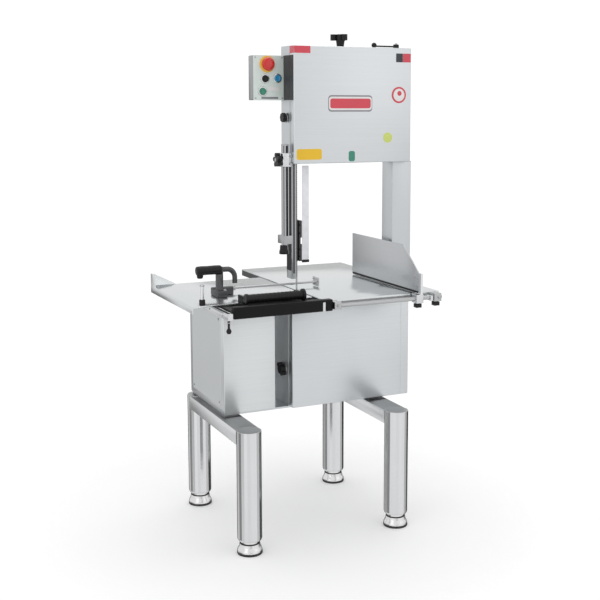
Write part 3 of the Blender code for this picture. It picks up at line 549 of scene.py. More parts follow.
def dome_screw(place, axis, radius=0.0045):
    """A domed screw head with a six-sided socket."""
    return turned([(radius, 0.0), (radius, 0.0006), (radius * 0.92, radius * 0.34),
                   (radius * 0.72, radius * 0.5), (radius * 0.46, radius * 0.56),
                   (radius * 0.4, radius * 0.56), (radius * 0.38, radius * 0.24)], place, axis, 24)


def row_of(first, moves):
    """A first piece and its moved copies, joined as one."""
    return joined([first] + [copied(first, move) for move in moves])


def fitting(name, body, look, rings, place, axis=Z_AXIS, sides=32, hollow=False):
    """A turned piece with its finish, riding on its body."""
    return done(turned(rings, place, axis, sides, hollow), name, body, look)


def strip(name, body, look, slot, x, y, z, width, segments):
    """A rounded bar or pad with its finish, riding on its body."""
    return done(rounded(block(x, y, z), width, segments), name, body, look)


def screws(name, body, look, place, axis, radius, moves):
    """A dome-headed screw and its copies as one piece."""
    return done(row_of(dome_screw(place, axis, radius), moves), name, body, look)


def bolts(name, body, look, place, axis, across, height, moves=()):
    """A hexagon bolt and its copies as one piece."""
    return done(row_of(hex_bolt(place, axis, across, height), moves), name, body, look)


# ---- stand
def make_stand():
    """Rounded beams, polished legs with end caps, and feet with a rubber ring and a lock nut."""
    for side in ("left", "right"):
        from_node(f"beam_{side}", 0.0012, BEAM_SHEET)
    from_node("base_plate", 0.001, SHEET)
    for place in ("front_left", "front_right", "rear_left", "rear_right"):
        leg = Extent(f"leg_{place}")
        foot = Extent(f"foot_{place}")
        body = f"foot_{place}_body"
        x, y, _ = leg.middle
        radius = leg.size.x / 2
        fitting(f"leg_cap_{place}", "frame", BEAM_SHEET,
                [(radius - 0.0015, 0.0), (radius - 0.0015, 0.0008), (radius - 0.01, 0.0016),
                 (radius - 0.03, 0.002)], (x, y, leg.top - 0.0002), sides=48)
        fitting(f"foot_rubber_{place}", body, RUBBER,
                [(radius - 0.006, 0.0003), (radius + 0.0006, 0.0003), (radius + 0.0012, 0.002),
                 (radius + 0.001, 0.0075), (radius - 0.001, 0.0095), (radius - 0.006, 0.0095)],
                (x, y, foot.bottom), sides=56, hollow=True)
        fitting(f"foot_bell_{place}", body, FOOT_STEEL,
                [(0.034, 0.037), (0.0362, 0.0368), (0.0368, 0.0345), (0.0372, 0.029), (0.0392, 0.0238),
                 (0.0425, 0.0185), (0.0443, 0.014), (0.0443, 0.01), (0.034, 0.01)], (x, y, foot.bottom),
                sides=56, hollow=True)
        fitting(f"foot_seal_{place}", body, RUBBER,
                [(0.0336, 0.0372), (0.0358, 0.0372), (0.0358, 0.04), (0.0336, 0.04)], (x, y, foot.bottom),
                sides=40, hollow=True)
    repaint(TUBE, *(f"leg_{a}_{b}" for a in ("front", "rear") for b in ("left", "right")))
    repaint(FOOT_STEEL, *(f"foot_{a}_{b}" for a in ("front", "rear") for b in ("left", "right")))


# ---- lower body
def make_lower_body():
    """Cabinet, housing and door with seams, screws, louvres, hinges and a latch plate."""
    from_node("side_cabinet", 0.0012, CABINET_SHEET)
    # The lower housing takes the sheet with painted light.
    from_node("lower_housing", 0.0006, LIFTED_HOUSING_SHEET, 1)
    from_node("rear_cover", 0.0005, SHEET, 1)
    from_node("lower_door", 0.001, DOOR_SHEET, 1)
    cover = Extent("rear_cover")
    rear = cover.rear
    step_x = (cover.size.x - 0.028) / 2
    step_z = (cover.size.z - 0.032) / 3
    moves = [(step_x * column, 0, step_z * row) for column in range(3) for row in range(4)]
    screws("rear_cover_screws", "frame", PLAIN_STEEL,
           (cover.left + 0.014, rear, cover.bottom + 0.016), Y_AXIS, 0.0045, moves[1:])
    hood = block(span(cover.left, 0.135, 0.353), (rear - 0.0004, rear + 0.007),
                 span(cover.bottom, 0.1165, 0.1265))
    edit(hood)
    pick(hood, "EDGE", lambda edge: abs(direction(edge).x) > 0.9
         and all(corner.co.y > rear + 0.006 and corner.co.z > cover.bottom + 0.12 for corner in edge.verts))
    bpy.ops.mesh.bevel(offset=0.0064, segments=6, affect="EDGES")
    pick(hood, "FACE", lambda face: face.normal.z < -0.9)
    bpy.ops.mesh.inset(thickness=0.0008)
    bpy.ops.mesh.extrude_region_move(TRANSFORM_OT_translate={"value": (0, -0.0006, 0.008)})
    choose(hood)
    smooth(hood)
    hoods = row_of(hood, [(0, 0, 0.022 * row) for row in range(1, 5)])
    done(hoods, "rear_louvres", "frame", SHEET)
    cabinet = Extent("side_cabinet")
    panel = rounded_plate(span(cabinet.left, -0.0012, 0.0002), cabinet.deep(0.03, 0.03),
                          cabinet.tall(0.022, 0.045), 0.01, 0, 0.0005)
    done(panel, "cabinet_side_panel", "frame", CABINET_SHEET)
    across = cabinet.size.y - 0.09
    up = cabinet.size.z - 0.097
    screws("cabinet_screws", "frame", PLAIN_STEEL,
           (cabinet.left - 0.0012, cabinet.front + 0.045, cabinet.bottom + 0.037), -X_AXIS, 0.0045,
           [(0, across, 0), (0, 0, up), (0, across, up)])
    door = Extent("lower_door")
    latch = Extent("lower_latch")
    fitting("lower_latch_plate", "frame", PLAIN_STEEL,
            [(0.007, 0.0), (0.0165, 0.0), (0.0165, 0.0016), (0.015, 0.0022), (0.007, 0.0022)],
            (door.left, latch.middle.y, latch.middle.z), -X_AXIS, 32, hollow=True)
    bead = block(door.wide(0.01, 0.01), span(door.front, 0.0034, 0.008),
                 span(door.top, -0.013, -0.0032))
    edit(bead)
    pick(bead, "FACE", lambda face: face.normal.y > 0.9)
    bpy.ops.mesh.inset(thickness=0.002)
    bpy.ops.mesh.extrude_region_move(TRANSFORM_OT_translate={"value": (0, 0.012, 0)})
    choose(bead)
    rounded(bead, 0.0006, 2)
    done(bead, "lower_door_seal", "lower_door_body", RUBBER)
    strip("lower_door_fold", "lower_door_body", SHEET, "stainless", span(door.right, -0.0345, -0.0325),
          span(door.front, -0.0004, 0.0002), door.tall(0.003, 0.003), 0.00025, 1)
    make_hinges("lower", door, "lower_door_body", (0.03, 0.3))
    repaint(BLACK_PLASTIC, "lower_latch", "head_latch", "lower_blade_guide")


def make_hinges(name, door, body, heights):
    """Two hinges at a door's right edge: outer knuckles on the housing, middle one on the door."""
    pivot = (door.right + 0.0015, door.rear - 0.0005)
    fixed = []
    moving = []
    for height in heights:
        low = door.bottom + height
        for start, long, group in ((0.0, 0.0195, fixed), (0.0205, 0.019, moving), (0.0405, 0.0195, fixed)):
            group.append(turned([(0.0034, 0.0), (0.0044, 0.0), (0.005, 0.0006), (0.005, long - 0.0006),
                                 (0.0044, long), (0.0034, long)], (*pivot, low + start), sides=20))
        fixed.append(turned([(0.0026, 0.0), (0.0034, 0.0008), (0.0034, 0.0022), (0.0022, 0.003)],
                            (*pivot, low + 0.06), sides=16))
        leaf = block(span(door.right, -0.0002, 0.0016), span(door.rear, -0.03, -0.004),
                     (low + 0.0215, low + 0.0385))
        moving.append(rounded(leaf, 0.0004, 1))
    done(joined(fixed), f"{name}_hinge_knuckles", "frame", PLAIN_STEEL)
    done(joined(moving), f"{name}_door_knuckles", body, PLAIN_STEEL)


# ---- drive and wheels
def make_running_gear():
    """Toothed blade, hub caps and bolts on the wheels, and the motor's fins."""
    repaint(WHEEL_CASTING, "lower_wheel", "upper_wheel", "motor_pulley")
    repaint(CASTING, "wheel_carriage", "lower_bearing_housing")
    repaint(PLAIN_STEEL, "drive_shaft", "tension_spring")
    repaint(RUBBER, "drive_belt")
    repaint(MOTOR_PAINT, "motor")
    for node, body in (("lower_wheel", "drive_body"), ("upper_wheel", "upper_wheel_body")):
        wheel = Extent(node)
        x, _, z = wheel.middle
        fitting(f"{node}_hub_cap", body, BRIGHT_BAR,
                [(0.024, -0.0002), (0.024, 0.003), (0.0225, 0.0046), (0.015, 0.0052), (0.0142, 0.004),
                 (0.008, 0.004)], (x, wheel.front, z), -Y_AXIS, 40)
        ring = []
        for turn in range(6):
            angle = math.tau * turn / 6
            spot = (x + 0.0305 * math.cos(angle), wheel.front + 0.0003, z + 0.0305 * math.sin(angle))
            ring.append(hex_bolt(spot, -Y_AXIS, 0.0075, 0.0042))
        done(joined(ring), f"{node}_bolts", body, PLAIN_STEEL)
    make_blade()
    motor = Extent("motor")
    fin = turned([(0.074, 0.0), (0.0785, 0.0006), (0.0785, 0.0024), (0.074, 0.003)],
                 (motor.middle.x, motor.front + 0.014, motor.bottom + 0.092), Y_AXIS, 48, hollow=True)
    fins = row_of(fin, [(0, 0.0085 * count, 0) for count in range(1, 12)])
    done(fins, "motor_fins", "frame", MOTOR_PAINT)


def make_blade():
    """An endless saw band: one tooth, repeated along the loop round both wheels."""
    band = Extent("blade")
    thickness = 0.0008
    line = (band.right - band.left) / 2 - thickness / 2
    high = band.top - thickness / 2 - line
    low = band.bottom + thickness / 2 + line
    straight = high - low
    length = math.tau * line + 2 * straight
    teeth = 380
    pitch = length / teeth
    width = band.size.y
    tooth = block((0, pitch), (-thickness / 2, thickness / 2), (-width / 2, width / 2))
    edit(tooth)
    pick(tooth, "EDGE", lambda edge: abs(direction(edge).x) > 0.9)
    bpy.ops.mesh.subdivide(number_cuts=3)
    pick(tooth, "VERT", lambda corner: corner.co.z > width * 0.4 and 0.1 * pitch < corner.co.x < 0.9 * pitch)
    bpy.ops.transform.translate(value=(0, 0, -0.0026))
    pick(tooth, "VERT", lambda corner: corner.co.z > width * 0.2 and abs(corner.co.x - 0.75 * pitch) < 0.1 * pitch)
    bpy.ops.transform.translate(value=(0.12 * pitch, 0, 0.0016))
    pick(tooth, "FACE", lambda face: abs(face.normal.x) > 0.9 and len(face.verts) == 4)
    bpy.ops.mesh.delete(type="FACE")
    choose(tooth)
    modified(tooth, "ARRAY", count=teeth, use_relative_offset=False, use_constant_offset=True,
             constant_offset_displace=(pitch, 0, 0), use_merge_vertices=True, merge_threshold=0.00005)
    bpy.ops.curve.primitive_bezier_circle_add(radius=line)
    loop = bpy.context.view_layer.objects.active
    spline = loop.data.splines[0]
    spline.resolution_u = 64
    loop.data.dimensions = "2D"
    points = [(line, high), (0, high + line), (-line, high), (-line, low), (0, low - line), (line, low)]
    spline.bezier_points.add(len(points) - len(spline.bezier_points))
    grip = line * 0.5523
    handles = [((0, -straight / 3), (0, grip)), ((grip, 0), (-grip, 0)), ((0, grip), (0, -straight / 3)),
               ((0, straight / 3), (0, -grip)), ((-grip, 0), (grip, 0)), ((0, -grip), (0, straight / 3))]
    for knot, point, (before, after) in zip(spline.bezier_points, points, handles):
        knot.handle_left_type = "FREE"
        knot.handle_right_type = "FREE"
        knot.co = (*point, 0)
        knot.handle_left = (point[0] + before[0], point[1] + before[1], 0)
        knot.handle_right = (point[0] + after[0], point[1] + after[1], 0)
    bpy.context.view_layer.update()
    modified(tooth, "CURVE", object=loop, deform_axis="POS_X")
    bpy.data.objects.remove(loop, do_unlink=True)
    tooth.rotation_euler = (math.radians(90), 0, 0)
    tooth.location = (band.middle.x, band.middle.y, 0)
    choose(tooth)
    bpy.ops.object.transform_apply(location=True, rotation=True, scale=True)
    edit(tooth)
    bpy.ops.mesh.remove_doubles(threshold=0.00005)
    bpy.ops.mesh.normals_make_consistent(inside=False)
    choose(tooth)
    smooth(tooth, 30)
    done(tooth, "toothed_blade", "frame", PLAIN_STEEL)
    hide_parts("blade")


# ---- column and head
def make_head():
    """Column, upper wheel box and its door, the labels, the tension knob and the lever."""
    from_node("column", 0.0035, UPRIGHT_SHEET, 3)
    from_node("head_housing", 0.0006, SHEET, 1)
    from_node("head_door", 0.001, DOOR_SHEET, 1)
    column = Extent("column")
    for name, height in (("foot", column.bottom), ("top", column.top - 0.003)):
        weld = block(column.wide(-0.0016, -0.0016), column.deep(-0.0016, -0.0016),
                     (height, height + 0.003))
        edit(weld)
        pick(weld, "EDGE", lambda edge: abs(direction(edge).z) > 0.9)
        bpy.ops.mesh.bevel(offset=0.0045, segments=4, affect="EDGES")
        pick(weld, "FACE", lambda face: abs(face.normal.z) > 0.9)
        bpy.ops.mesh.inset(thickness=0.003)
        bpy.ops.mesh.delete(type="FACE")
        choose(weld)
        rounded(weld, 0.0009, 2)
        done(weld, f"column_weld_{name}", "frame", UPRIGHT_SHEET)
    door = Extent("head_door")
    make_hinges("head", door, "head_door_body", (0.031, 0.331))
    latch = Extent("head_latch")
    fitting("head_latch_plate", "frame", PLAIN_STEEL,
            [(0.007, 0.0), (0.0155, 0.0), (0.0155, 0.0014), (0.014, 0.002), (0.007, 0.002)],
            (door.left, latch.middle.y, latch.middle.z), -X_AXIS, 32, hollow=True)
    make_labels(door)
    make_tensioner()
    housing = Extent("head_housing")
    screws("carriage_guide_screws", "frame", PLAIN_STEEL,
           (housing.left + 0.165, housing.rear, housing.top - 0.14), Y_AXIS, 0.005,
           [(0.126, 0, 0), (0, 0, -0.16), (0.126, 0, -0.16), (0, 0, -0.08), (0.126, 0, -0.08)])


def sticker(name, x, z, face, look, corner=0.002, body="head_door_body", thick=0.0005):
    """A flat label on a front face."""
    piece = rounded_plate(x, (face - thick, face + 0.0001), z, corner, 1, 0.00015)
    return done(piece, name, body, look)


def make_labels(door):
    """Blank labels: strips, squares, discs and the plain badge, all without lettering."""
    face = door.front
    body = "head_door_body"
    high = span(door.top, -0.0265, -0.0012)
    square = span(door.top, -0.052, -0.02)
    sticker("top_strip", span(door.left, 0.001, 0.065), high, face, RED_LABEL)
    side = rounded_plate(span(door.left, -0.0005, 0.0001), span(face, 0.001, 0.034), high, 0.002, 0, 0.00015)
    done(side, "top_strip_side", body, RED_LABEL)
    sticker("dark_square", span(door.right, -0.065, -0.037), square, face, DARK_LABEL)
    sticker("red_square", span(door.right, -0.036, -0.003), square, face, RED_LABEL)
    for name, across, up, look, corner, lift, thick in (
            ("yellow_blank", (0.01, 0.11), (0.014, 0.053), YELLOW_LABEL, 0.008, 0.0, 0.0005),
            ("green_blank", (0.219, 0.245), (0.005, 0.043), GREEN_LABEL, 0.008, 0.0, 0.0005),
            ("badge_back", (0.136, 0.315), (0.186, 0.245), GREY_LABEL, 0.012, 0.0, 0.0012),
            ("badge_rim", (0.138, 0.313), (0.191, 0.24), WHITE_LABEL, 0.011, 0.001, 0.0008),
            ("badge_field", (0.143, 0.308), (0.198, 0.233), RED_LABEL, 0.008, 0.0016, 0.0008)):
        sticker(name, span(door.left, *across), span(door.bottom, *up), face - lift, look, corner, thick=thick)
    centre = Vector((door.right - 0.052, face, door.top - 0.172))
    fitting("round_label", body, WHITE_LABEL,
            [(0.028, -0.0001), (0.028, 0.0004), (0.0275, 0.0006)], centre, -Y_AXIS, 48)
    fitting("round_label_rim", body, RED_LABEL,
            [(0.0235, 0.0005), (0.03, 0.0002), (0.03, 0.0007), (0.0235, 0.0009)], centre, -Y_AXIS, 48,
            hollow=True)
    fitting("round_label_dot", body, RED_LABEL,
            [(0.009, 0.0004), (0.009, 0.0008), (0.0086, 0.0009)], centre + Vector((0.002, 0, 0.006)), -Y_AXIS,
            32)
    fitting("lime_label_disc", body, LIME_LABEL,
            [(0.019, -0.0001), (0.019, 0.0004), (0.0186, 0.0006)],
            (door.right - 0.098, face, door.bottom + 0.09), -Y_AXIS, 40)


def make_tensioner():
    """The tension knob's cone and cap, and the lever's pivot bolt."""
    repaint(BLACK_PLASTIC, "tension_knob", "tension_lever")
    knob = Extent("tension_knob")
    top = Extent("head_housing").top
    x, y, _ = knob.middle
    body = "tension_screw_body"
    spot = (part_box("upper_wheel")[0][0] + Extent("upper_wheel").size.x / 2, y)
    fitting("tension_cone", body, BLACK_PLASTIC,
            [(0.0125, 0.0), (0.0135, 0.0015), (0.014, 0.01), (0.0165, knob.top - 0.021 - top)],
            (*spot, top + 0.0012), sides=36)
    fitting("tension_cap", body, BRIGHT_BAR,
            [(0.0105, -0.0003), (0.0105, 0.001), (0.009, 0.002), (0.005, 0.0024)], (*spot, knob.top),
            sides=32)
    fitting("tension_washer", "frame", PLAIN_STEEL,
            [(0.009, -0.0002), (0.019, -0.0002), (0.019, 0.0006), (0.0185, 0.001), (0.009, 0.001)],
            (*spot, top), sides=36, hollow=True)
    lever = Extent("tension_lever")
    bolts("lever_bolt", "tension_lever_body", PLAIN_STEEL,
          (lever.right - 0.011, lever.middle.y, lever.bottom + 0.0158), Z_AXIS, 0.0095, 0.0048)


# ---- blade guide
def make_guide():
    """Bright guide post and bar with painted dark reflection lines on the bar and painted shade on the post's
    side, the jaws, the guard with its foot, and the clamp.
    """
    from_node("guide_post", 0.0008, GUIDE_STEEL)
    from_node("guide_bar", 0.0008, GUIDE_STEEL)
    from_node("upper_blade_guide", 0.0008, JAW_PLASTIC)
    from_node("blade_guard", 0.0006, GUARD_PLASTIC)
    from_node("guide_clamp", 0.0012, BRIGHT_BAR)
    repaint(BLACK_PLASTIC, "guide_clamp_knob")
    body = "guide_body"
    post = Extent("guide_post")
    bar = Extent("guide_bar")
    jaw = Extent("upper_blade_guide")
    guard = Extent("blade_guard")
    clamp = Extent("guide_clamp")
    fitting("guide_grip", body, BLACK_PLASTIC,
            [(0.0165, 0.0), (0.0172, 0.001), (0.0172, 0.01), (0.015, 0.017), (0.0138, 0.032)],
            (bar.left + 0.0112, bar.front + 0.0142, bar.bottom - 0.0006),
            sides=28)
    rack = block(post.wide(0.006, 0.006), span(post.front, -0.0014, 0.0002),
                 post.tall(0.02, 0.006))
    edit(rack)
    pick(rack, "EDGE", lambda edge: abs(direction(edge).z) > 0.9)
    bpy.ops.mesh.subdivide(number_cuts=120)
    pick(rack, "VERT", lambda corner: corner.co.y < post.front - 0.001
         and round((corner.co.z - post.bottom - 0.02) / (post.size.z - 0.026) * 121) % 2 == 1)
    bpy.ops.transform.translate(value=(0, 0.0009, 0))
    choose(rack)
    done(smooth(rack, 20), "guide_rack", body, CASTING)
    # Painted shade: a black strip covers the post's left face, standing in for that side in shade.
    strip("guide_post_painted_shade", body, BLACK_COAT, "black_plastic", span(post.left, -0.0007, 0.0002),
          post.deep(0.0015, 0.0015), post.tall(0.03, 0.004), 0.0003, 1)
    # Painted reflection: black strips on the bar's front stand in for dark reflection lines on the bright bar.
    for name, near, far in (("edge", 0.0165, 0.0224), ("line", 0.005, 0.0072)):
        strip(f"guide_bar_{name}", body, BLACK_COAT, "black_plastic", (bar.left + near, bar.left + far),
              span(bar.front, -0.0001, 0.0004), bar.tall(0.066, 0.006), 0.00015, 1)
    strip("guard_foot", body, BLACK_PLASTIC, "black_plastic", guard.wide(-0.001, -0.001),
          guard.deep(-0.0018, -0.0018), span(guard.bottom, -0.001, 0.009), 0.0012, 2)
    strip("guard_lip", body, GUARD_PLASTIC, "white_plastic", span(guard.right, -0.0024, 0.0004),
          guard.deep(-0.0002, -0.0022), guard.tall(0.012, 0.012), 0.0009, 2)
    screws("jaw_screws", body, BLACK_COAT, (jaw.middle.x + 0.0006, jaw.front, jaw.bottom + 0.018),
           -Y_AXIS, 0.0032, [(0, 0, 0.026), (0, 0, 0.086), (0, 0, 0.116)])
    bolts("clamp_bolts", "frame", PLAIN_STEEL,
          (clamp.middle.x + 0.012, clamp.front, clamp.middle.z + 0.014), -Y_AXIS, 0.0085, 0.005,
          [(0, 0, -0.028)])
    knob = Extent("guide_clamp_knob")
    fitting("clamp_knob_cap", "guide_clamp_screw_body", PLAIN_STEEL,
            [(0.0075, -0.0003), (0.0075, 0.001), (0.0062, 0.0018), (0.003, 0.002)],
            (knob.left, knob.middle.y, clamp.middle.z), -X_AXIS, 28)


# ---- controls
def make_controls():
    """The control box and panel, with bezels, the stop's yellow disc, screws and blank strips."""
    from_node("control_box", 0.0012, BOX_SHEET)
    from_node("control_panel", 0.0006, PANEL_VINYL, 1)
    repaint(RED_PLASTIC, "emergency_stop")
    repaint(GREEN_PLASTIC, "start_button")
    repaint(BLACK_PLASTIC, "black_button")
    repaint(BLUE_PLASTIC, "blue_button")
    panel = Extent("control_panel")
    face = panel.front
    stop = Extent("emergency_stop")
    fitting("stop_disc", "frame", YELLOW_PLASTIC,
            [(0.0112, -0.0001), (0.03, -0.0001), (0.03, 0.001), (0.0292, 0.0016), (0.0112, 0.0016)],
            (stop.middle.x, face, stop.middle.z), -Y_AXIS, 48, hollow=True)
    fitting("stop_rib", "emergency_stop_body", RED_PLASTIC,
            [(0.014, 0.0), (0.0172, 0.0), (0.0172, 0.0014), (0.0156, 0.0022), (0.014, 0.0014)],
            (stop.middle.x, stop.front + 0.004, stop.middle.z), -Y_AXIS, 40, hollow=True)
    for node in ("start_button", "black_button", "blue_button"):
        button = Extent(node)
        radius = button.size.x / 2
        fitting(f"{node}_bezel", "frame", BRIGHT_BAR,
                [(radius + 0.0007, -0.0001), (radius + 0.005, -0.0001), (radius + 0.0048, 0.0022),
                 (radius + 0.0032, 0.004), (radius + 0.0007, 0.0044)],
                (button.middle.x, face, button.middle.z), -Y_AXIS, 40, hollow=True)
        look = {"start_button": GREEN_PLASTIC, "blue_button": BLUE_PLASTIC}.get(node, BLACK_PLASTIC)
        fitting(f"{node}_crown", f"{node}_body", look,
                [(radius - 0.0006, -0.0002), (radius - 0.0012, 0.0006), (radius - 0.0034, 0.0012),
                 (radius - 0.0044, 0.0006), (radius - 0.008, 0.0004)],
                (button.middle.x, button.front, button.middle.z), -Y_AXIS, 40)
    sticker("panel_strip", panel.wide(0.03, 0.022), span(panel.bottom, 0.0045, 0.0115),
            face, GREY_LABEL, 0.0015, "frame")
    sticker("button_strip", span(panel.right, -0.062, -0.018), span(panel.bottom, 0.034, 0.046),
            face, WHITE_LABEL, 0.0015, "frame")
    wide = panel.size.x - 0.014
    tall = panel.size.z - 0.014
    screws("panel_screws", "frame", PLAIN_STEEL,
           (panel.left + 0.007, face, panel.bottom + 0.007), -Y_AXIS, 0.003,
           [(wide, 0, 0), (0, 0, tall), (wide, 0, tall)])
    box = Extent("control_box")
    door = Extent("head_door")
    housing = Extent("head_housing")
    # Painted shade: dark plates on the head's left side next to the control box stand in for the shadow and dark
    # reflection there.
    for name, body, near, far in (("door", "head_door_body", door.front + 0.0035, door.rear - 0.001),
                                  ("housing", "frame", housing.front + 0.001, panel.front - 0.0004)):
        painted_shade_plate = rounded_plate(span(door.left, -0.001, 0.0001), (near, far), (box.bottom, box.top),
                                0.0015, 0, 0.0003, 3)
        done(painted_shade_plate, f"side_painted_shade_{name}", body, JAW_PLASTIC)
    fitting("cable_gland", "frame", BLACK_PLASTIC,
            [(0.009, 0.0), (0.012, 0.0), (0.012, 0.006), (0.01, 0.0075), (0.009, 0.015), (0.007, 0.019)],
            (box.middle.x, box.rear - 0.0002, box.bottom + 0.035), Y_AXIS, 24)


# ---- tables
def make_fixed_table():
    """The fixed table, its front rail with brackets, the fence and its carriage."""
    from_node("fixed_table", 0.0012, TABLE_SHEET)
    from_node("fence_plate", 0.0008, FENCE_SHEET)
    from_node("fence_carriage", 0.0008, BRIGHT_BAR)
    from_node("front_rail", 0.0008, BRIGHT_RAIL)
    repaint(BLACK_PLASTIC, "fence_knob", "rail_knob")
    rail = Extent("front_rail")
    fence = Extent("fence_plate")
    carriage = Extent("fence_carriage")
    table = Extent("fixed_table")
    axis_y = rail.front + 0.0165
    fitting("rail_end_cap", "frame", BLACK_PLASTIC,
            [(0.008, 0.0), (0.0094, 0.0008), (0.0094, 0.005), (0.0082, 0.0062), (0.003, 0.0066)],
            (rail.right - 0.001, axis_y, rail.bottom + 0.014), X_AXIS, 28)
    for name in ("fence", "rail"):
        knob = Extent(f"{name}_knob")
        fitting(f"{name}_knob_skirt", f"{name}_knob_body", BLACK_PLASTIC,
                [(0.0105, 0.0), (0.0128, 0.0014), (0.0128, 0.01), (0.011, 0.0128), (0.006, 0.0134)],
                (knob.middle.x, axis_y, knob.top), -Z_AXIS, 28)
    bolts("carriage_bolt", "fence_body", PLAIN_STEEL,
          (carriage.right, carriage.middle.y - 0.01, carriage.bottom + 0.018), X_AXIS, 0.008, 0.005)
    screws("fence_rivets", "fence_body", PLAIN_STEEL,
           (fence.left, carriage.front + 0.012, fence.bottom + 0.03), -X_AXIS, 0.0042,
           [(0, 0.016, 0), (0, 0, 0.028), (0, 0.016, 0.028)])
    # Painted shadow: a black strip along the fence plate's foot stands in for the shadow line where it meets the
    # table.
    strip("fence_painted_shadow", "fence_body", BLACK_COAT, "black_plastic", span(fence.left, -0.0008, 0.0002),
          fence.deep(0.006, 0.006), span(fence.bottom, 0.0028, 0.01), 0.0003, 1)
    # Painted shade: a dark strip on the fixed table's left edge stands in for the shadow under the sliding table.
    strip("fixed_table_painted_shade", "frame", JAW_PLASTIC, "black_plastic", span(table.left, -0.0004, 0.0001),
          table.deep(0.01, 0.004), table.tall(0.001, 0.0035), 0.00015, 1)
    strip("scale_strip", "frame", SCALE_STRIP, "steel", table.wide(0.06, 0.055),
          span(table.front, -0.0007, 0.0001), span(table.top, -0.017, -0.006), 0.0003, 1)
    strip("rail_stop", "frame", BRIGHT_BAR, "polished_steel", span(rail.right, -0.046, -0.034),
          (rail.front + 0.003, table.front - 0.0002), span(rail.bottom, 0.003, 0.022), 0.0014, 2)
    bolts("rail_bracket_bolt", "frame", PLAIN_STEEL,
          (rail.right - 0.012, rail.front, rail.bottom + 0.014), -Y_AXIS, 0.0095, 0.0055)
    bolts("rail_inner_bolt", "frame", PLAIN_STEEL,
          (rail.left + 0.013, rail.front, rail.bottom + 0.016), -Y_AXIS, 0.0085, 0.005)


def make_slide_bed():
    """The black bed with its key, the slide rail with an end plate, screws and a painted shadow strip, and the
    pull lock.
    """
    from_node("slide_bed", 0.0016, BLACK_COAT, 3)
    from_node("slide_rail", 0.0006, BRIGHT_BAR, 1)
    repaint(BLACK_PLASTIC, "table_lock")
    bed = Extent("slide_bed")
    rail = Extent("slide_rail")
    strip("rail_end_plate", "frame", BRIGHT_BAR, "polished_steel", span(rail.left, -0.0008, 0.0178),
          span(rail.front, -0.003, 0.0002), rail.tall(0.001, 0.001), 0.001, 2)
    # Painted shadow: a black strip on top of the slide rail stands in for the shadow gap under the sliding table's
    # edge.
    strip("slide_rail_painted_shadow", "frame", BLACK_COAT, "black_plastic", span(rail.left, 0.0004, 0.01),
          rail.deep(0.002, 0.004), span(rail.top, -0.0004, 0.0014), 0.0005, 2)
    screws("slide_rail_screws", "frame", PLAIN_STEEL, (rail.left, rail.front + 0.045, rail.middle.z),
           -X_AXIS, 0.0036, [(0, 0.13 * count, 0) for count in range(1, 5)])
    strip("bed_key", "frame", BRIGHT_BAR, "polished_steel", span(bed.right, -0.0388, -0.0272),
          span(bed.front, 0.002, 0.012), span(bed.bottom, 0.0008, 0.0325), 0.0008, 2)
    lock = Extent("table_lock")
    fitting("table_lock_collar", "table_lock_body", PLAIN_STEEL,
            [(0.004, 0.0), (0.0052, 0.0004), (0.0052, 0.003), (0.004, 0.0036)],
            (lock.middle.x, lock.middle.y, lock.top - 0.0085), Z_AXIS, 24)


def make_sliding_table():
    """The sliding table, its corner post, the grip between its two round plates, and the pusher."""
    from_node("sliding_table", 0.001, TABLE_SHEET)
    from_node("table_handle_bracket", 0.001, BLACK_COAT)
    repaint(BLACK_PLASTIC, "table_handle_grip", "pusher_grip")
    table = Extent("sliding_table")
    body = "sliding_table_body"
    top = Extent("fixed_table").top
    place = (table.left + 0.043, table.front + 0.021, top)
    fitting("corner_post", body, BRIGHT_BAR,
            [(0.0065, 0.0), (0.0065, 0.068), (0.0055, 0.07), (0.003, 0.0706)], place, sides=24)
    fitting("corner_post_collar", body, BLACK_PLASTIC,
            [(0.0068, 0.0), (0.0105, 0.0), (0.0105, 0.015), (0.009, 0.0185), (0.0068, 0.019)], place,
            sides=28, hollow=True)
    fitting("corner_post_ring", body, PLAIN_STEEL,
            [(0.0066, 0.0), (0.0082, 0.0008), (0.0082, 0.004), (0.0066, 0.005)],
            (place[0], place[1], top + 0.064), sides=24, hollow=True)
    grip = Extent("table_handle_grip")
    bracket = Extent("table_handle_bracket")
    ribs = []
    for count in range(13):
        spot = (grip.left + 0.022 + count * 0.015, grip.middle.y, grip.middle.z)
        ribs.append(turned([(0.015, 0.0), (0.0163, 0.0012), (0.0163, 0.0032), (0.015, 0.0044)], spot, X_AXIS,
                           32, hollow=True))
    done(joined(ribs), "grip_ribs", body, BLACK_PLASTIC)
    for name, x, axis, radius in (("left", bracket.left + 0.0041, -X_AXIS, 0.0178),
                                  ("right", bracket.right - 0.0041, X_AXIS, 0.0208)):
        fitting(f"grip_end_{name}", body, BLACK_PLASTIC,
                [(radius, -0.0042), (radius + 0.0006, -0.003), (radius + 0.0006, 0.0036),
                 (radius - 0.0012, 0.005), (radius - 0.008, 0.0056), (radius - 0.012, 0.0046)],
                (x, grip.middle.y, grip.middle.z), axis, 40)
    screws("bracket_screws", body, PLAIN_STEEL,
           (bracket.left + 0.02, bracket.rear - 0.01, top + 0.006), Z_AXIS, 0.004,
           [(0.101, 0, 0), (0.202, 0, 0)])
    make_pusher()


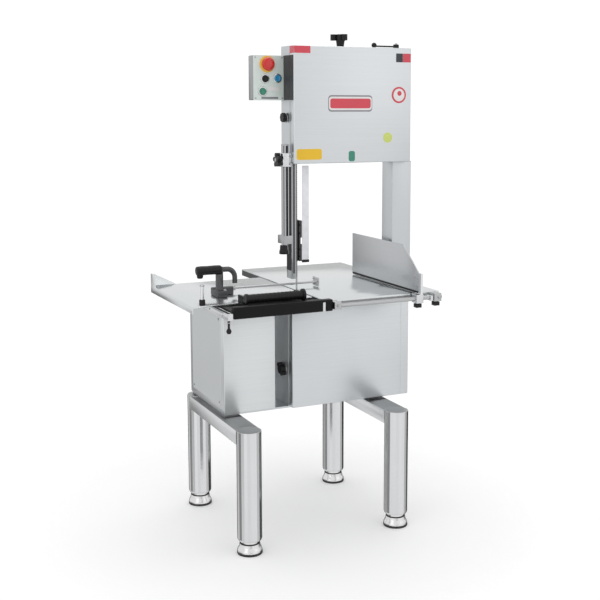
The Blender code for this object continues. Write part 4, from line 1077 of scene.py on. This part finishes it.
def make_pusher():
    """The pusher with its moulded grip, teeth on the end plate and a collar on the rod."""
    from_node("pusher_base", 0.0016, CASTING)
    from_node("pusher_rod", 0.0008, BRIGHT_RAIL)
    body = "pusher_body"
    grip = Extent("pusher_grip")
    base = Extent("pusher_base")
    rod = Extent("pusher_rod")
    axis_z = grip.top - 0.0155
    fitting("pusher_grip_swell", body, BLACK_PLASTIC,
            [(0.012, 0.0), (0.0156, 0.003), (0.0166, 0.018), (0.0158, 0.042), (0.0164, 0.07), (0.016, 0.086),
             (0.014, 0.091)], (grip.left + 0.0005, grip.middle.y, axis_z), X_AXIS, 36)
    fitting("pusher_grip_heel", body, BLACK_PLASTIC,
            [(0.012, 0.0), (0.0122, 0.012), (0.0104, 0.025), (0.008, 0.0272), (0.003, 0.028)],
            (grip.left + 0.014, grip.middle.y, axis_z), -Z_AXIS, 28)
    bolts("pusher_bolt", body, PLAIN_STEEL,
          (base.left + 0.031, base.front + 0.008, base.bottom + 0.0236), Z_AXIS, 0.008, 0.0045)
    fitting("rod_collar", body, PLAIN_STEEL,
            [(0.0046, 0.0), (0.0085, 0.0), (0.0085, 0.009), (0.0078, 0.01), (0.0046, 0.01)],
            (base.left + 0.0804, rod.front + 0.013, rod.bottom + 0.017), X_AXIS, 28, hollow=True)
    teeth = []
    for row in range(3):
        for column in range(4):
            spot = (rod.right - 0.006, rod.front + 0.006 + column * 0.0107, rod.bottom + 0.006 + row * 0.0105)
            teeth.append(turned([(0.002, 0.0), (0.0013, 0.004), (0.0004, 0.0072)], spot, -X_AXIS, 10))
    done(joined(teeth), "pusher_teeth", body, PLAIN_STEEL)


# ---- studio
def softbox(name, place, target, size, power, colour=(1, 1, 1)):
    """A large soft lamp at a place, turned to a target."""
    lamp = bpy.data.lights.new(name, "AREA")
    lamp.shape = "RECTANGLE"
    lamp.size, lamp.size_y = size
    lamp.energy = power
    lamp.color = colour
    holder = bpy.data.objects.new(name, lamp)
    holder.location = place
    heading = Vector(target) - Vector(place)
    holder.rotation_euler = heading.to_track_quat("-Z", "Y").to_euler()
    bpy.context.scene.collection.objects.link(holder)


def make_surround():
    """A bright surround, darker in bands behind and beside the machine, and white to the camera."""
    air = Look("studio_surround", bpy.data.worlds)
    heading = air.node("ShaderNodeTexCoord", output="Generated")
    rise = air.along(heading, (0, 0, 1))
    low = 1.0 - rise.between(-0.28, -0.12) * 0.45 - rise.between(-0.02, 0.1) * 0.55
    under = 1.0 - rise.between(-0.27, -0.18)
    shade = air.along(heading, (0.63, 0.77, 0)).between(0.36, 0.72) * low
    strip = air.along(heading, (-0.15, -0.99, 0)).between(0.965, 0.992)
    front = air.along(heading, (0.43, -0.89, -0.13)).between(0.55, 1.0)
    left = air.along(heading, (-0.906, 0.423, 0)).between(0.74, 0.93)
    right = air.along(heading, (0.966, -0.259, 0)).between(0.8, 0.96)
    bright = air.along(heading, (-0.866, -0.5, 0)).between(0.84, 1.0)
    sides = (left * 0.6 + right * 0.3) * under - bright * 0.14
    strength = 0.86 + rise * 0.04 - shade * 0.76 - strip * 0.24 + front * 0.08 - sides
    seen = air.node("ShaderNodeLightPath", output="Is Camera Ray")
    glow = air.node("ShaderNodeMix", {"data_type": "FLOAT"}, {0: seen, 2: strength, 3: 1.05})
    background = air.node("ShaderNodeBackground", None, {"Color": (1, 1, 1, 1), "Strength": glow})
    air.node("ShaderNodeOutputWorld", None, {"Surface": background}, None)
    bpy.context.scene.world = air.made


def make_studio():
    """A pale floor, a bright plain surround with a greyer back, three soft lamps and the camera."""
    scene = bpy.context.scene
    scene.view_settings.view_transform = "Standard"
    choose()
    bpy.ops.mesh.primitive_grid_add(x_subdivisions=8, y_subdivisions=8, size=4, location=(0, 0, -0.0005))
    floor = bpy.context.view_layer.objects.active
    floor.name = "studio_floor"
    bpy.ops.object.transform_apply(location=True, rotation=True, scale=True)
    look = Look("studio_floor")
    mottle = look.noise(1.5, 2.0)
    pale = look.toned((0.86, 0.86, 0.86), (mottle - 0.5) * 0.02 + 1.0)
    spread = look.node("ShaderNodeVectorMath", {"operation": "LENGTH"}, {0: look.place()}, "Value")
    mirrored = look.node("ShaderNodeLightPath", output="Is Glossy Ray")
    solid = (1.0 - spread.between(0.8, 1.35)) * (1.0 - mirrored * 0.95)
    floor.data.materials.append(look.finish(pale, 0.9, **{"Specular IOR Level": 0.0,
                                                          "Alpha": solid,
                                                          "Emission Color": (1, 1, 1, 1),
                                                          "Emission Strength": 0.18}))
    make_surround()
    softbox("key", (2.6, -3.2, 2.6), (0.1, 0, 1.0), (2.4, 2.4), 3)
    softbox("fill", (-3.2, -2.2, 1.8), (0, 0, 0.9), (2.0, 2.6), 5)
    softbox("top", (0.2, 0.4, 4.2), (0, 0, 1.0), (2.6, 2.6), 20)
    view = bpy.data.cameras.new("camera")
    view.lens = 63.43
    view.sensor_width = 36
    view.shift_x = -0.0343
    view.shift_y = -0.0802
    camera = bpy.data.objects.new("camera", view)
    camera.location = (-1.591, -3.662, 1.546)
    camera.rotation_euler = (math.radians(90 - 7.72), 0, math.radians(-25.57))
    scene.collection.objects.link(camera)
    scene.camera = camera


make_stand()
make_lower_body()
make_running_gear()
make_head()
make_guide()
make_controls()
make_fixed_table()
make_slide_bed()
make_sliding_table()
make_studio()
choose()
